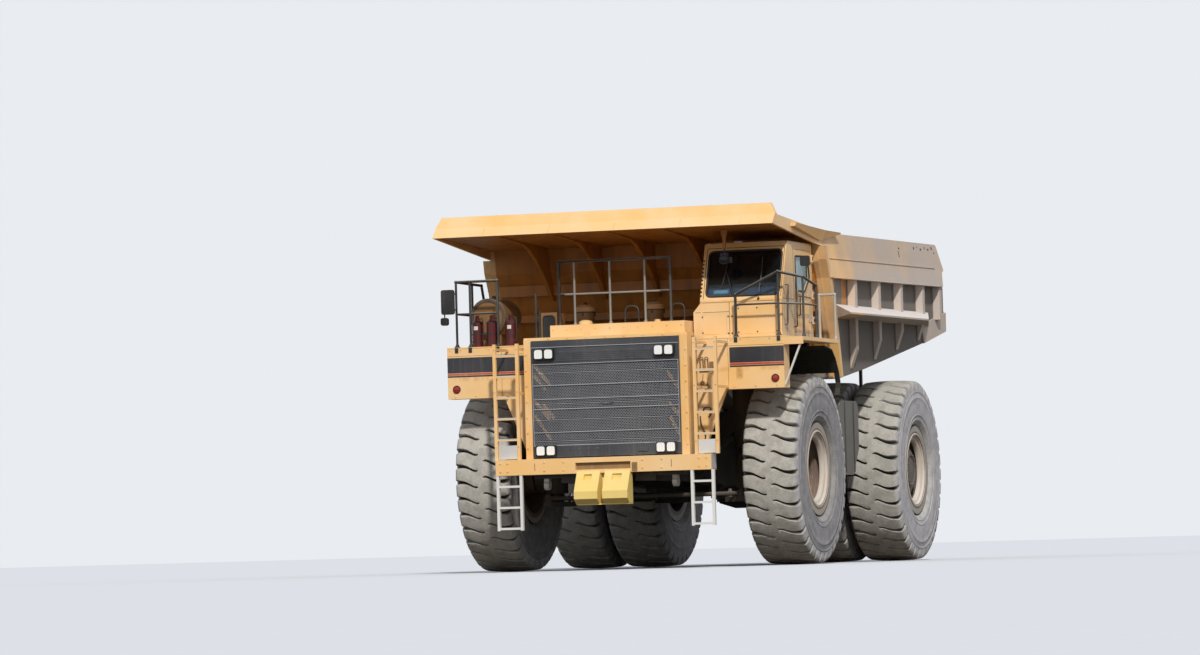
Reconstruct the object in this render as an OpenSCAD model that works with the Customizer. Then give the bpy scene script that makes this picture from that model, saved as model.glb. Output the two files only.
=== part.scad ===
// Rigid mining dump truck. The truck faces -Y and its left side is +X.
// The origin is on the ground, under the middle of the truck's length and width.
// Stations along Y are counted from the front axle, backwards, unless a comment says otherwise.

/* [Whole truck] */
// Front axle to rear axle
wheelbase = 5180; // [5100:10:5250]
// Front axle to the foremost face, the wheel chocks
front_reach = 2740; // [2740:10:2800]
// Front axle to the tail of the dump body
tail_reach = 8340; // [8330:10:8400]
// Running clearance between a moving piece and its seat
seat_gap = 0.3; // [0.2:0.05:0.4]

/* [Tyres and wheels] */
// Radius of a tyre over its tread
tyre_r = 1530; // [1510:5:1540]
// Width of a tyre
tyre_w = 930; // [900:5:935]
// Depth of the tread grooves
tread_depth = 75; // [50:5:90]
// Number of tread blocks on each shoulder
tread_blocks = 36; // [30:2:40]
// Width of the grooves between tread blocks
groove_w = 55; // [35:5:70]
// Radius of the rim's bead seat
bead_r = 650; // [640:5:660]
// Radius of the rim's flange
flange_r = 760; // [745:5:775]
// Middle plane of a front tyre from the centre line
front_tyre_x = 2425; // [2415:5:2435]
// Middle plane of an inner rear tyre from the centre line
rear_inner_x = 1612; // [1605:1:1620]
// Middle plane of an outer rear tyre from the centre line
rear_outer_x = 2670; // [2660:5:2675]

/* [Steering] */
// Steering axis of a front wheel from the centre line
kingpin_x = 1650; // [1645:1:1660]
// Radius of the suspension rod that the knuckle turns on
strut_rod_r = 150; // [140:5:160]
// Radius of the suspension cylinder that holds the rod
strut_r = 230; // [220:5:240]
// Radius of the front wheel's spindle
spindle_r = 150; // [130:5:170]
// Height of the top of the steering arms
arm_top_z = 1120; // [1110:5:1130]
// Kingpin to the tie rod's pin, forwards
tie_arm = 420; // [400:5:440]
// Kingpin to the steering cylinder's pin
cylinder_arm = 300; // [290:5:310]
// Angle of the cylinder's arm ahead of the straight inward line
cylinder_arm_angle = 11.5; // [10:0.5:13]
// Frame pin of a steering cylinder from the centre line
steer_pin_x = 550; // [540:5:560]
// Frame pin of a steering cylinder behind the front axle
steer_pin_y = 1750; // [1740:5:1800]

/* [Frame] */
// Inner face of a frame rail from the centre line
rail_in_x = 450; // [430:5:460]
// Outer face of a frame rail from the centre line
rail_out_x = 790; // [770:5:795]
// Body hinge behind the front axle
hinge_y = 6200; // [6190:5:6210]
// Height of the body hinge
hinge_z = 2300; // [2295:5:2305]
// Radius of the body hinge shaft
hinge_r = 80; // [70:5:90]
// Half width of the front bumper
bumper_half_w = 1800; // [1780:5:1820]
// Hole in each tow eye
tow_eye_r = 36; // [30:1:40]

/* [Hoist cylinders] */
// Hoist cylinder from the centre line
hoist_x = 960; // [955:1:963]
// Hoist pins behind the front axle
hoist_y = 3500; // [3490:5:3510]
// Height of the lower hoist pin
hoist_low_z = 1200; // [1195:5:1205]
// Height of the upper hoist pin
hoist_top_z = 2870; // [2865:5:2875]
// Outer radius of the hoist barrel
hoist_r = 140; // [135:1:142]

/* [Front sheet metal] */
// Half width of the front fascias
fascia_half_w = 2830; // [2810:5:2840]
// Front face of the fascias ahead of the front axle
fascia_front = 1820; // [1815:5:1830]
// Bottom of the fascias
fascia_low_z = 2810; // [2800:5:2830]
// Height of the decks
deck_z = 3640; // [3630:5:3650]
// Half width of the radiator grille
grille_half_w = 1240; // [1220:5:1250]
// Front face of the grille ahead of the front axle
grille_front = 2300; // [2290:5:2310]
// Depth of the screens behind the grille's rim
screen_depth = 34; // [25:1:45]

/* [Cab] */
// Inner side of the cab from the centre line
cab_in_x = 1270; // [1260:5:1280]
// Outer side of the cab from the centre line
cab_out_x = 2750; // [2740:5:2755]
// Front of the cab ahead of the front axle
cab_front = 1560; // [1550:5:1570]
// Rear of the cab behind the front axle
cab_rear = 200; // [190:5:210]
// Height of the cab's roof
cab_top_z = 5150; // [5140:5:5160]
// Thickness of the cab's walls
cab_wall = 60; // [50:5:70]
// Front edge of the door opening, ahead of the front axle
door_front = 850; // [840:5:860]
// Rear edge of the door opening, behind the front axle
door_rear = 110; // [100:5:120]
// Width of the walkway beside the cab
walkway_w = 320; // [310:5:330]

/* [Dump body] */
// Half of the inside width of the dump body
bed_in_x = 2725; // [2710:5:2730]
// Thickness of the side plates
bed_side_t = 80; // [70:5:90]
// Half width over the side ledges
ledge_x = 3200; // [3190:5:3205]
// Half width of the canopy
canopy_x = 2850; // [2840:5:2860]
// Thickness of the floor with its stiffeners
bed_floor_t = 120; // [100:5:130]
// Thickness of the front wall
bed_front_t = 100; // [90:5:110]

/* [Handrails] */
// Radius of the handrail pipes
pipe_r = 22; // [18:1:26]

/* [Hidden] */

yellow = "#E9B25C";
black = "#2B2B2D";
steel = "#8B8782";
rubber = "#5A5854";
rim_brown = "#7A6A58";
white = "#D8D5CC";
red = "#8A2420";

// Station of the front axle in the truck's own frame
front_axle_y = (front_reach - tail_reach) / 2;
// Height of both axles
axle_z = tyre_r;
kingpin_arm = [-cylinder_arm * cos(cylinder_arm_angle), -cylinder_arm * sin(cylinder_arm_angle)];

module from_front_axle() { translate([0, front_axle_y, 0]) children(); }
module both_sides() { children(); mirror([1, 0, 0]) children(); }
// Outline in Y and Z, drawn out along X from x0 to x1
module side_profile(points, x0, x1)
    translate([x0, 0, 0]) rotate([90, 0, 90]) linear_extrude(x1 - x0) polygon(points);
// Outline in X and Z, drawn out along Y from y0 to y1
module front_profile(points, y0, y1)
    translate([0, y1, 0]) rotate([90, 0, 0]) linear_extrude(y1 - y0) polygon(points);
// Box from its lowest to its highest corner
module block(low, high) translate(low) cube(high - low);
// Cylinder along X
module x_cylinder(x0, x1, y, z, r, fn = 48)
    translate([x0, y, z]) rotate([0, 90, 0]) cylinder(r = r, h = x1 - x0, $fn = fn);
// Round bar between two points
module bar(a, b, r, fn = 16) {
    d = b - a;
    len = norm(d);
    translate(a) rotate([0, acos(d.z / len), atan2(d.y, d.x)]) cylinder(r = r, h = len, $fn = fn);
}
// Pipe through a list of points, with a ball joint at each bend
ball_extra = 5;
module pipe(points, r = pipe_r) {
    for (i = [0 : len(points) - 2]) bar(points[i], points[i + 1], r);
    if (len(points) > 2) for (i = [1 : len(points) - 2]) translate(points[i]) sphere(r = r + ball_extra, $fn = 16);
}

// Frame rails

rail_front_y = -2270;
rail_low_front_z = 1400;
rail_top_front_z = 1840;
rail_top_mid_z = 1980;
rail_top_rear_z = 2700;
axle_arch_z = 2130;
// Step in the rail's top, behind the grille
rail_step_y = -2150;
rail_step = 45;
// Outline of a rail: flat below the engine, deep at the hoist, arched over the rear axle
rail_outline = [
    [rail_front_y, rail_low_front_z], [rail_front_y, rail_top_front_z - rail_step],
    [rail_step_y, rail_top_front_z - rail_step], [rail_step_y, rail_top_front_z], [1200, rail_top_mid_z],
    [2300, 2560], [5850, rail_top_rear_z], [6330, 2500], [6440, hinge_z], [6330, 2120], [6100, 2070],
    [5900, axle_arch_z], [4450, axle_arch_z], [3800, 1300], [3500, 1080], [3150, 1080], [2500, 1300], [0, rail_low_front_z]
];
// Slope of the rail's top, where the body rests on it
rail_rest_slope = (rail_top_rear_z - 2560) / (5850 - 2300);
rest_pad_h = 40;
rest_pads_y = [2600, 3900, 4700, 5500];
// Crossmember that the rear axle's nose hangs on
axle_link_y = 3300;
axle_link_r = 180;
function rail_rest_z(y) = 2560 + (y - 2300) * rail_rest_slope;
// Top of a rail under the engine, and its underside ahead of the hoist
function rail_front_z(y) = rail_top_front_z + (y - rail_step_y) * (rail_top_mid_z - rail_top_front_z) / (1200 - rail_step_y);
function rail_low_z(y) = rail_low_front_z - y * (rail_low_front_z - 1300) / 2500;

// Beam across the rails behind the bumper, that the tow eyes hang from
bolster_y = [-2250, -2050];
bolster_z = [1480, 1780];
bolster_half_w = 1250;
// Where the front and the rear length of a rail meet
rail_joint_y = 1200;
// Half length of the crossmembers between the rails
cross_x = rail_in_x - seat_gap;
steer_lug_low_z = arm_top_z + 135;
module main_frame() color(black) from_front_axle() {
    both_sides() difference() {
        union() {
            // Front and rear length of a rail
            for (part = [[rail_front_y - 1, rail_joint_y - seat_gap], [rail_joint_y, 6500]]) intersection() {
                side_profile(rail_outline, rail_in_x, rail_out_x);
                block([rail_in_x - 1, part[0], 1000], [rail_out_x + 1, part[1], 2800]);
            }
            for (y = rest_pads_y)
                side_profile([[y - 120, rail_rest_z(y - 120) - 1], [y + 120, rail_rest_z(y + 120) - 1],
                    [y + 120, rail_rest_z(y + 120) + rest_pad_h], [y - 120, rail_rest_z(y - 120) + rest_pad_h]],
                    rail_in_x + 40, rail_out_x - 40);
        }
        x_cylinder(rail_in_x - 1, rail_out_x + 1, hinge_y, hinge_z, hinge_r + seat_gap);
    }
    // Crossmembers between the rails
    block([-cross_x, bolster_y[0], bolster_z[0]], [cross_x, bolster_y[1], bolster_z[1]]);
    block([-cross_x, 1500, 1420], [cross_x, 1800, 1900]);
    x_cylinder(-cross_x, cross_x, axle_link_y, axle_z, axle_link_r);
    x_cylinder(-cross_x, cross_x, 4300, 2400, 140);
    // Shaft that the body turns on
    x_cylinder(-930, 930, hinge_y, hinge_z, hinge_r);
    both_sides() {
        // End of the beam that the tow eye hangs from
        block([rail_out_x + seat_gap, bolster_y[0], bolster_z[0]], [bolster_half_w, bolster_y[1], bolster_z[1]]);
        // Trunnion of the hoist cylinder
        x_cylinder(rail_out_x + seat_gap, hoist_x + 110, hoist_y, hoist_low_z, 60);
        // Beam that carries the front suspension cylinder
        difference() {
            front_profile([[rail_out_x + seat_gap, 1500], [rail_out_x + seat_gap, 1900], [kingpin_x - 100, 2700],
                [kingpin_x - 100, 2250]], -180, 180);
            translate([kingpin_x, 0, 1400]) cylinder(r = strut_r + seat_gap, h = 1600, $fn = 48);
        }
        // Lug of the steering cylinder with its pin
        side_profile([for (p = [[-90, 0], [90, 0], [90, 1], [-90, 1]])
            [steer_pin_y + p[0], p[1] > 0 ? rail_low_z(steer_pin_y + p[0]) - seat_gap : steer_lug_low_z]],
            steer_pin_x - 90, steer_pin_x + 90);
        translate([steer_pin_x, steer_pin_y, arm_top_z - 10]) cylinder(r = 35, h = 180, $fn = 32);
    }
}

// Bumper, tow eyes and chocks

bumper_front_y = -2540;
bumper_low_z = 1540;
bumper_top_z = 1790;

module front_bumper() color(yellow) from_front_axle() difference() {
    block([-bumper_half_w, bumper_front_y, bumper_low_z], [bumper_half_w, rail_front_y - seat_gap, bumper_top_z]);
    block([-460, bumper_front_y - 1, 1600], [460, bumper_front_y + 60, 1710]);
}

tow_eye_x = 1075;
tow_eye_t = 80;
tow_eye_y = -2110;
tow_eye_z = 1375;
tow_eye_out_r = 80;
module tow_eyes() color(yellow) from_front_axle() both_sides() difference() {
    union() {
        block([tow_eye_x - tow_eye_t / 2, tow_eye_y - 60, tow_eye_z], [tow_eye_x + tow_eye_t / 2, tow_eye_y + 55, bolster_z[0] - seat_gap]);
        x_cylinder(tow_eye_x - tow_eye_t / 2, tow_eye_x + tow_eye_t / 2, tow_eye_y, tow_eye_z, tow_eye_out_r);
    }
    x_cylinder(tow_eye_x - tow_eye_t / 2 - 1, tow_eye_x + tow_eye_t / 2 + 1, tow_eye_y, tow_eye_z, tow_eye_r);
}

chock_front = front_reach;
chocks = [[-430, -40], [40, 460]];
module wheel_chocks() color(yellow) from_front_axle() {
    for (x = chocks) difference() {
        side_profile([[-chock_front, 1130], [-chock_front, 1250], [bumper_front_y - 20, 1570],
            [bumper_front_y - seat_gap, 1570], [bumper_front_y - seat_gap, bumper_low_z - 5], [-2455 - seat_gap, bumper_low_z - 5],
            [-2455 - seat_gap, 1055 + seat_gap], [-2640, 1055 + seat_gap]], x[0], x[1]);
        side_profile([[-2660, 1430], [-2600, 1520], [-2565, 1520], [-2565, 1430]], x[0] + 130, x[1] - 130);
    }
    // Rack that the chocks hang in
    block([-425, -2455, 1035], [455, -2430, bumper_low_z - seat_gap]);
    block([-425, -2630, 1035], [455, -2430, 1055]);
}

// Grille and hood

grille_low_z = 1810;
grille_top_z = 3670;
grille_depth = 130;
screen_rim = 20;
mesh_low_z = 2000;
mesh_top_z = 3300;
lamp_strip_top_z = 3550;
// Heights of the bars across the screens, and of the seams between them
screen_bars_z = [2210, 2580, 2740, 2960];
screen_seams_z = [2070, 2410, 2665, 3160];
module grille() color(black) from_front_axle() {
    y0 = -grille_front;
    in_x = grille_half_w - screen_rim;
    difference() {
        block([-grille_half_w, y0, grille_low_z], [grille_half_w, y0 + grille_depth, grille_top_z]);
        block([-in_x, y0 - 1, mesh_low_z], [in_x, y0 + screen_depth, mesh_top_z]);
        for (z = screen_seams_z) block([-in_x, y0 - 1, z - 13], [in_x, y0 + screen_depth + 18, z + 13]);
        // Seam under the cap
        block([-grille_half_w - 1, y0 - 1, lamp_strip_top_z], [grille_half_w + 1, y0 + 14, lamp_strip_top_z + 12]);
    }
    for (z = screen_bars_z) block([-in_x - 1, y0 + 6, z - 11], [in_x + 1, y0 + screen_depth + 1, z + 11]);
}

post_out_x = grille_half_w + 130;
module hood() color(yellow) from_front_axle() {
    // Posts beside the grille
    both_sides() block([grille_half_w + seat_gap, -grille_front + 30, bumper_top_z + seat_gap],
        [post_out_x, -grille_front + 270, 3700]);
    // Hood over the engine
    difference() {
        block([-1020, -1950, grille_top_z + 15], [1240, -900, 3930]);
        block([-960, -1890, grille_top_z + 14], [1180, -960, 3880]);
    }
    block([-post_out_x, -2250, grille_top_z + seat_gap + 10], [post_out_x, -1900, 3730]);
}

engine_y = [-1550, 860];
engine_top_z = 3250;
module engine() color("#5C5A55") from_front_axle()
    side_profile([[engine_y[0], rail_front_z(engine_y[0]) + seat_gap], [engine_y[1], rail_front_z(engine_y[1]) + seat_gap],
        [engine_y[1], engine_top_z], [engine_y[0], engine_top_z]], -700, 700);

lamp_x = [920, 1090];
lamp_z = [1920, 3460];
module headlamps() color(white) from_front_axle() both_sides() for (z = lamp_z) {
    block([840, -grille_front - 60, z - 85], [1175, -grille_front - seat_gap, z + 85]);
    for (x = lamp_x) translate([x, -grille_front - 59, z]) rotate([90, 0, 0]) cylinder(r = 62, h = 16, $fn = 32);
}

// Decks

deck_t = 60;
fascia_depth = 300;
panel_low_x = 1400;
// Fascia, deck plate and the panel that slants in towards the bumper, on the right side
module deck_side(front_in_x, rear_y) {
    front_profile([[front_in_x, bumper_top_z + 10], [panel_low_x + 60, bumper_top_z + 10], [1870, fascia_low_z],
        [fascia_half_w, fascia_low_z], [fascia_half_w, deck_z], [front_in_x, deck_z]],
        -fascia_front, -fascia_front + 60);
    block([1870, -fascia_front + 59, fascia_low_z], [fascia_half_w, -fascia_front + fascia_depth, fascia_low_z + 40]);
    block([fascia_half_w - 60, -fascia_front + 59, fascia_low_z], [fascia_half_w, -fascia_front + fascia_depth, deck_z]);
    block([front_in_x, -fascia_front + 59, deck_z - deck_t], [fascia_half_w, rear_y, deck_z]);
    // Beam under the deck, down to the frame
    block([rail_out_x + 20, -1000, 3250], [fascia_half_w - 200, -850, deck_z - deck_t + 1]);
    block([rail_out_x + 20, -1000, 1700], [rail_out_x + 140, -850, 3251]);
    block([rail_out_x + seat_gap, -1000, 1700], [rail_out_x + 21, -850, 1900]);
}

deck_in_x = 1385;
deck_rear_y = 300;
// Inner edge of the right deck beside the hood
deck_step_x = 1105;
module right_deck() color(yellow) from_front_axle() mirror([1, 0, 0]) {
    deck_side(deck_in_x, deck_rear_y);
    block([deck_step_x, -fascia_front + 60, deck_z - deck_t], [deck_in_x + 1, -600, deck_z]);
}

walkway_x = fascia_half_w + walkway_w;
module left_deck() color(yellow) from_front_axle() {
    deck_side(deck_in_x, deck_rear_y);
    // Walkway beside the cab with its end plate and its brace
    block([fascia_half_w - 1, -fascia_front, deck_z - 90], [walkway_x, deck_rear_y, deck_z - 30]);
    block([fascia_half_w - 1, -fascia_front, deck_z - 150], [walkway_x, -fascia_front + 30, deck_z - 40]);
    bar([walkway_x - 20, -fascia_front + 45, deck_z - 60], [fascia_half_w - 10, -fascia_front + 45, fascia_low_z + 30], 16);
}

fender_t = 25;
// Line of the mudguard in Y and Z: back under the deck, then down ahead of the dump body
guard_line = [[120, 3520], [560, 3470], [760, 3330], [940, 3110]];
// Flap outboard of the steered tyre
flap_line = [[940, 3110], [1010, 2960], [1000, 2860], [930, 2750]];
flap_in_x = 2870;
guard_out_x = 2950;
function sheet(line, t) = concat(line, [for (i = [len(line) - 1 : -1 : 0]) line[i] - [t, t * 0.6]]);
module fenders() color(black) from_front_axle() both_sides() {
    side_profile(sheet(guard_line, fender_t), 1950, guard_out_x);
    side_profile(sheet(flap_line, fender_t), flap_in_x, guard_out_x);
    // Hanger up to the deck
    side_profile([[130, deck_z - deck_t - seat_gap], [290, deck_z - deck_t - seat_gap], [290, 3480], [130, 3495]], 1990, 2650);
}

// Cab

sill_z = 4250;
header_y = -1210;
cab_floor_z = deck_z + seat_gap;
module cab_outline(inset, x0, x1) side_profile([
    [-cab_front + inset, cab_floor_z + inset], [-cab_front + inset, sill_z - inset / 2],
    [header_y + inset, cab_top_z - inset], [cab_rear - inset, cab_top_z - inset], [cab_rear - inset, cab_floor_z + inset]], x0, x1);
screen_angle = atan2(header_y + cab_front, cab_top_z - sill_z);
screen_corner_r = 70;
// Windscreen in the slanted front, as a tilted slab with round corners
module screen_slab(inset, y0, y1)
    translate([0, -cab_front, sill_z]) rotate([-screen_angle, 0, 0])
        translate([0, y1, 0]) rotate([90, 0, 0]) linear_extrude(y1 - y0) offset(r = screen_corner_r, $fn = 24)
            offset(delta = -screen_corner_r - inset) translate([cab_waist_x + 95, 55]) square([cab_out_x - 60 - cab_waist_x - 95, 785]);

// Inner side of the cab above its shoulder, and the shoulder's heights
cab_waist_x = cab_in_x + 115;
shoulder_z = [4060, 4200];
module cab_block(inset) difference() {
    cab_outline(inset, cab_in_x + inset, cab_out_x - inset);
    front_profile([[cab_in_x - 1, shoulder_z[0] - inset], [cab_waist_x + inset, shoulder_z[1] - inset], [cab_waist_x + inset, cab_top_z + 1],
        [cab_in_x - 1, cab_top_z + 1]], -cab_front - 1, cab_rear + 1);
}

window_low_z = 4420;
window_top_z = 5020;
module cab_body() difference() {
    cab_block(0);
    cab_block(cab_wall);
    // Windscreen
    screen_slab(0, -200, 200);
    // Inner side and rear windows
    block([cab_waist_x - 1, -850, window_low_z], [cab_waist_x + cab_wall + 1, 100, window_top_z]);
    block([cab_waist_x + 120, cab_rear - cab_wall - 1, window_low_z], [cab_out_x - 200, cab_rear + 1, window_top_z]);
    // Door opening
    block([cab_out_x - cab_wall - 1, -door_front, deck_z + 80], [cab_out_x + 1, door_rear, cab_top_z - 100]);
}
// Door hinges outside the rear post: each has a pin between two lugs on the shell
door_axis = [cab_out_x + 20, door_rear - 2];
door_hinges_z = [3900, 4300, 4900];
door_pin_r = 9;
hinge_barrel_r = 18;
hinge_barrel_h = 60;
module door_pins() for (z = door_hinges_z) {
    translate([door_axis.x, door_axis.y, z - 31]) cylinder(r = door_pin_r, h = hinge_barrel_h + 62, $fn = 32);
    for (lug = [z - 30, z + hinge_barrel_h + seat_gap]) {
        translate([door_axis.x, door_axis.y, lug]) cylinder(r = hinge_barrel_r, h = 30 - seat_gap, $fn = 32);
        block([cab_out_x - 1, door_axis.y, lug], [door_axis.x + hinge_barrel_r, door_axis.y + 70, lug + 30 - seat_gap]);
    }
}
module cab_shell() color(yellow) from_front_axle() {
    cab_body();
    door_pins();
}

glass_t = 12;
module cab_glass() color("#9FC3D0", 0.35) from_front_axle() {
    screen_slab(seat_gap, 20, 20 + glass_t);
    block([cab_waist_x + 20, -850 + seat_gap, window_low_z + seat_gap],
        [cab_waist_x + 20 + glass_t, 100 - seat_gap, window_top_z - seat_gap]);
    block([cab_waist_x + 120 + seat_gap, cab_rear - 40, window_low_z + seat_gap],
        [cab_out_x - 200 - seat_gap, cab_rear - 40 + glass_t, window_top_z - seat_gap]);
}

seat_x = 2150;
module cab_interior() color(black) from_front_axle() {
    floor_z = cab_floor_z + cab_wall + seat_gap;
    // Seat
    block([seat_x - 180, -450, floor_z], [seat_x + 180, -40, floor_z + 330]);
    block([seat_x - 270, -520, floor_z + 329], [seat_x + 270, 0, floor_z + 450]);
    side_profile([[-100, floor_z + 449], [10, floor_z + 449], [90, floor_z + 1150], [-10, floor_z + 1150]], seat_x - 260, seat_x + 260);
    // Dashboard and steering column
    block([cab_waist_x + cab_wall + 40, -1440, floor_z], [cab_out_x - cab_wall - 40, -1130, 4200]);
    bar([seat_x, -1150, 4150], [seat_x, -900, 4380], 30);
    translate([seat_x, -900, 4380]) rotate([42, 0, 0]) rotate_extrude($fn = 32) translate([200, 0]) circle(r = 18, $fn = 12);
    translate([seat_x, -900, 4380]) rotate([42, 0, 0]) translate([-200, -18, -8]) cube([400, 36, 16]);
    // Console beside the seat
    block([cab_in_x + cab_wall + 100, -1131, floor_z], [seat_x - 320, 0, floor_z + 300]);
}

door_gap = 6;
door_y0 = -door_front + door_gap;
door_y1 = door_rear - door_gap - 4;
door_z0 = deck_z + 80 + door_gap;
door_z1 = cab_top_z - 100 - door_gap;
// Five-sided window of the door, in Y and Z
door_window = [[door_y0 + 70, 4390], [door_y1 - 360, 4380], [door_y1 - 70, 4610], [door_y1 - 150, 4960], [door_y0 + 70, 4940]];
module door_slab(inset, x0, x1)
    translate([x0, 0, 0]) rotate([90, 0, 90]) linear_extrude(x1 - x0) offset(delta = -inset) polygon(door_window);
module cab_door() color(yellow) from_front_axle() {
    difference() {
        block([cab_out_x - cab_wall, door_y0, door_z0], [cab_out_x, door_y1, door_z1]);
        door_slab(0, cab_out_x - cab_wall - 1, cab_out_x + 1);
    }
    // Handle and hinge straps
    block([cab_out_x - 1, door_y0 + 60, 4250], [cab_out_x + 35, door_y0 + 90, 4400]);
    for (z = door_hinges_z) difference() {
        union() {
            block([cab_out_x - 1, door_y1 - 200, z], [cab_out_x + 14, door_axis.y, z + hinge_barrel_h]);
            translate([door_axis.x, door_axis.y, z]) cylinder(r = hinge_barrel_r, h = hinge_barrel_h, $fn = 32);
        }
        translate([door_axis.x, door_axis.y, z - 1]) cylinder(r = door_pin_r + 0.05, h = hinge_barrel_h + 2, $fn = 32);
    }
}
module door_glass() color("#9FC3D0", 0.35) from_front_axle() door_slab(seat_gap, cab_out_x - 36, cab_out_x - 36 + glass_t);

// Ladders and handrails

rung_pitch = 335;
module ladder(x0, x1, y, z0, z1, first_rung, rail_w = 50) {
    for (x = [x0, x1 - rail_w]) block([x, y, z0], [x + rail_w, y + 60, z1]);
    for (z = [first_rung : rung_pitch : z1 - 40]) block([x0 + rail_w - 1, y + 5, z], [x1 - rail_w + 1, y + 55, z + 35]);
}
// Columns: inner x, outer x, sign of the side
upper_ladders = [[1390, 1820, -1], [1520, 1920, 1]];
lower_ladders = [[1360, 1795, -1], [1450, 1840, 1]];
ladder_y = -2500;
lower_ladder_z = 660;
module ladders() color(yellow) from_front_axle() {
    for (l = upper_ladders) {
        x0 = l[2] > 0 ? l[0] : -l[1];
        ladder(x0, x0 + l[1] - l[0], ladder_y, bumper_top_z + seat_gap, deck_z, bumper_top_z + 300);
        // Stays back to the slanted panel
        for (x = [x0 + 10, x0 + l[1] - l[0] - 40], z = [deck_z - 100, fascia_low_z + 20])
            block([x, ladder_y + 59, z], [x + 30, -fascia_front - seat_gap, z + 40]);
    }
    for (l = lower_ladders) {
        x0 = l[2] > 0 ? l[0] : -l[1];
        ladder(x0, x0 + l[1] - l[0], bumper_front_y + 5, lower_ladder_z, bumper_low_z - seat_gap, lower_ladder_z + 15, 45);
    }
}

rail_post_z = deck_z + seat_gap;
// Lines of the rails: outside the walkway, and on the right deck
left_rail_x = walkway_x - 30;
right_rail_x = -fascia_half_w + 165;
hood_rail_y = -1500;
hood_rail_x = [-998, -740, -140, 450, 880];
cowl_post_z = 3730 + seat_gap;
walkway_z = deck_z - 30 + seat_gap;
post_r = pipe_r - 3;
mid_r = pipe_r - 6;
module handrails() color(steel) from_front_axle() {
    // Rail ahead of and outside the cab
    pipe([[2040, -1780, rail_post_z], [2040, -1780, 4310], [2750, -1780, 4650], [left_rail_x, -1640, 4560], [left_rail_x, -900, 4450],
        [left_rail_x, -900, walkway_z]]);
    pipe([[2040, -1780, 4150], [2750, -1780, 4150], [left_rail_x, -1640, 4130], [left_rail_x, -900, 4130]], mid_r);
    bar([2750, -1780, rail_post_z], [2750, -1780, 4650], post_r);
    bar([left_rail_x, -1640, walkway_z], [left_rail_x, -1640, 4560], post_r);
    // Hoop that closes the rear end of the walkway
    pipe([[left_rail_x - 260, 200, walkway_z], [left_rail_x - 260, 200, 4340], [left_rail_x, 200, 4340],
        [left_rail_x, 200, walkway_z]]);
    // Rail round the right deck
    pipe([[-1960, -1780, rail_post_z], [-1960, -1780, 4700], [right_rail_x, -1780, 4700], [right_rail_x, -540, 4690],
        [right_rail_x, -420, 4420], [right_rail_x, -420, rail_post_z]]);
    pipe([[-1960, -1780, 4180], [right_rail_x, -1780, 4180], [right_rail_x, -420, 4180]], mid_r);
    for (p = [[-2430, -1780], [right_rail_x, -1780], [right_rail_x, -1000]])
        bar([p.x, p.y, rail_post_z], [p.x, p.y, 4690], post_r);
    // Posts of different heights beside the grille's cap
    for (p = [[-1250, 4450], [-1190, 4170]]) bar([p[0], -1950, cowl_post_z], [p[0], -1950, p[1]], post_r);
    // Rail over the hood
    pipe([[hood_rail_x[0], hood_rail_y, 3930 + seat_gap], [hood_rail_x[0], hood_rail_y, 4970],
        [hood_rail_x[4], hood_rail_y, 4970], [hood_rail_x[4], hood_rail_y, 3930 + seat_gap]]);
    bar([hood_rail_x[0], hood_rail_y, 4440], [hood_rail_x[4], hood_rail_y, 4440], mid_r);
    for (i = [1 : 3]) bar([hood_rail_x[i], hood_rail_y, 3930 + seat_gap], [hood_rail_x[i], hood_rail_y, 4970], post_r);
}

// Mirror head with round corners: width, height, thickness
module mirror_head(size) rotate([90, 0, 0]) linear_extrude(size[2], center = true)
    offset(r = 35, $fn = 24) square([size[0] - 70, size[1] - 70], center = true);
module mirrors() color(black) from_front_axle() {
    // Right mirror with two arms to the corner post, and a lamp below it
    translate([right_rail_x - 120, -1850, 4378]) mirror_head([225, 400, 36]);
    for (z = [4250, 4510]) bar([right_rail_x, -1835, z], [right_rail_x, -1780 - post_r - seat_gap, z], 12);
    bar([right_rail_x - 180, -1850, 4120], [right_rail_x - 180, -1850, 4185], 10);
    translate([right_rail_x - 180, -1850, 4065]) mirror_head([125, 125, 60]);
    // Left mirror on its pole over the rail
    bar([left_rail_x, -1400, 4526.6 + pipe_r], [left_rail_x, -1400, 4760], 12);
    translate([left_rail_x - 20, -1400, 4820]) mirror_head([160, 165, 36]);
}

// Station of each extinguisher along X
extinguisher_x = [-2390, -2140, -1820];
module extinguishers() color(red) from_front_axle() for (x = extinguisher_x) {
    translate([x, -1560, deck_z + seat_gap]) cylinder(r = 90, h = 400, $fn = 32);
    translate([x, -1560, deck_z + 400]) cylinder(r1 = 90, r2 = 30, h = 60, $fn = 32);
    translate([x, -1560, deck_z + 459]) cylinder(r = 30, h = 60, $fn = 24);
}

air_cleaner_x = [-880, 300];
module deck_equipment() color("#6B5A48") from_front_axle() {
    // Air cleaners behind the hood, each a pot under a wider cap
    for (x = air_cleaner_x) {
        translate([x, -550, 3320 + seat_gap]) cylinder(r = 145, h = 870, $fn = 40);
        translate([x, -550, 4190]) cylinder(r = 168, h = 70, $fn = 40);
        translate([x, -550, 4259]) cylinder(r1 = 168, r2 = 100, h = 45, $fn = 40);
    }
    block([-1090, -700, engine_top_z + seat_gap], [500, -400, 3320]);
    // Reservoir on its cradles and box on the right deck
    difference() {
        translate([-2300, -500, 4140]) rotate([90, 0, 0]) cylinder(r = 300, h = 800, $fn = 48);
        block([-2700, -1400, 3700], [-1900, -400, deck_z + 230 + seat_gap]);
    }
    for (y = [-1200, -650]) block([-2480, y, deck_z + seat_gap], [-2120, y + 60, deck_z + 230]);
    block([-1390, -1300, deck_z + seat_gap], [-1120, -900, deck_z + 530]);
}

// Tanks, suspension and axle

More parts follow.
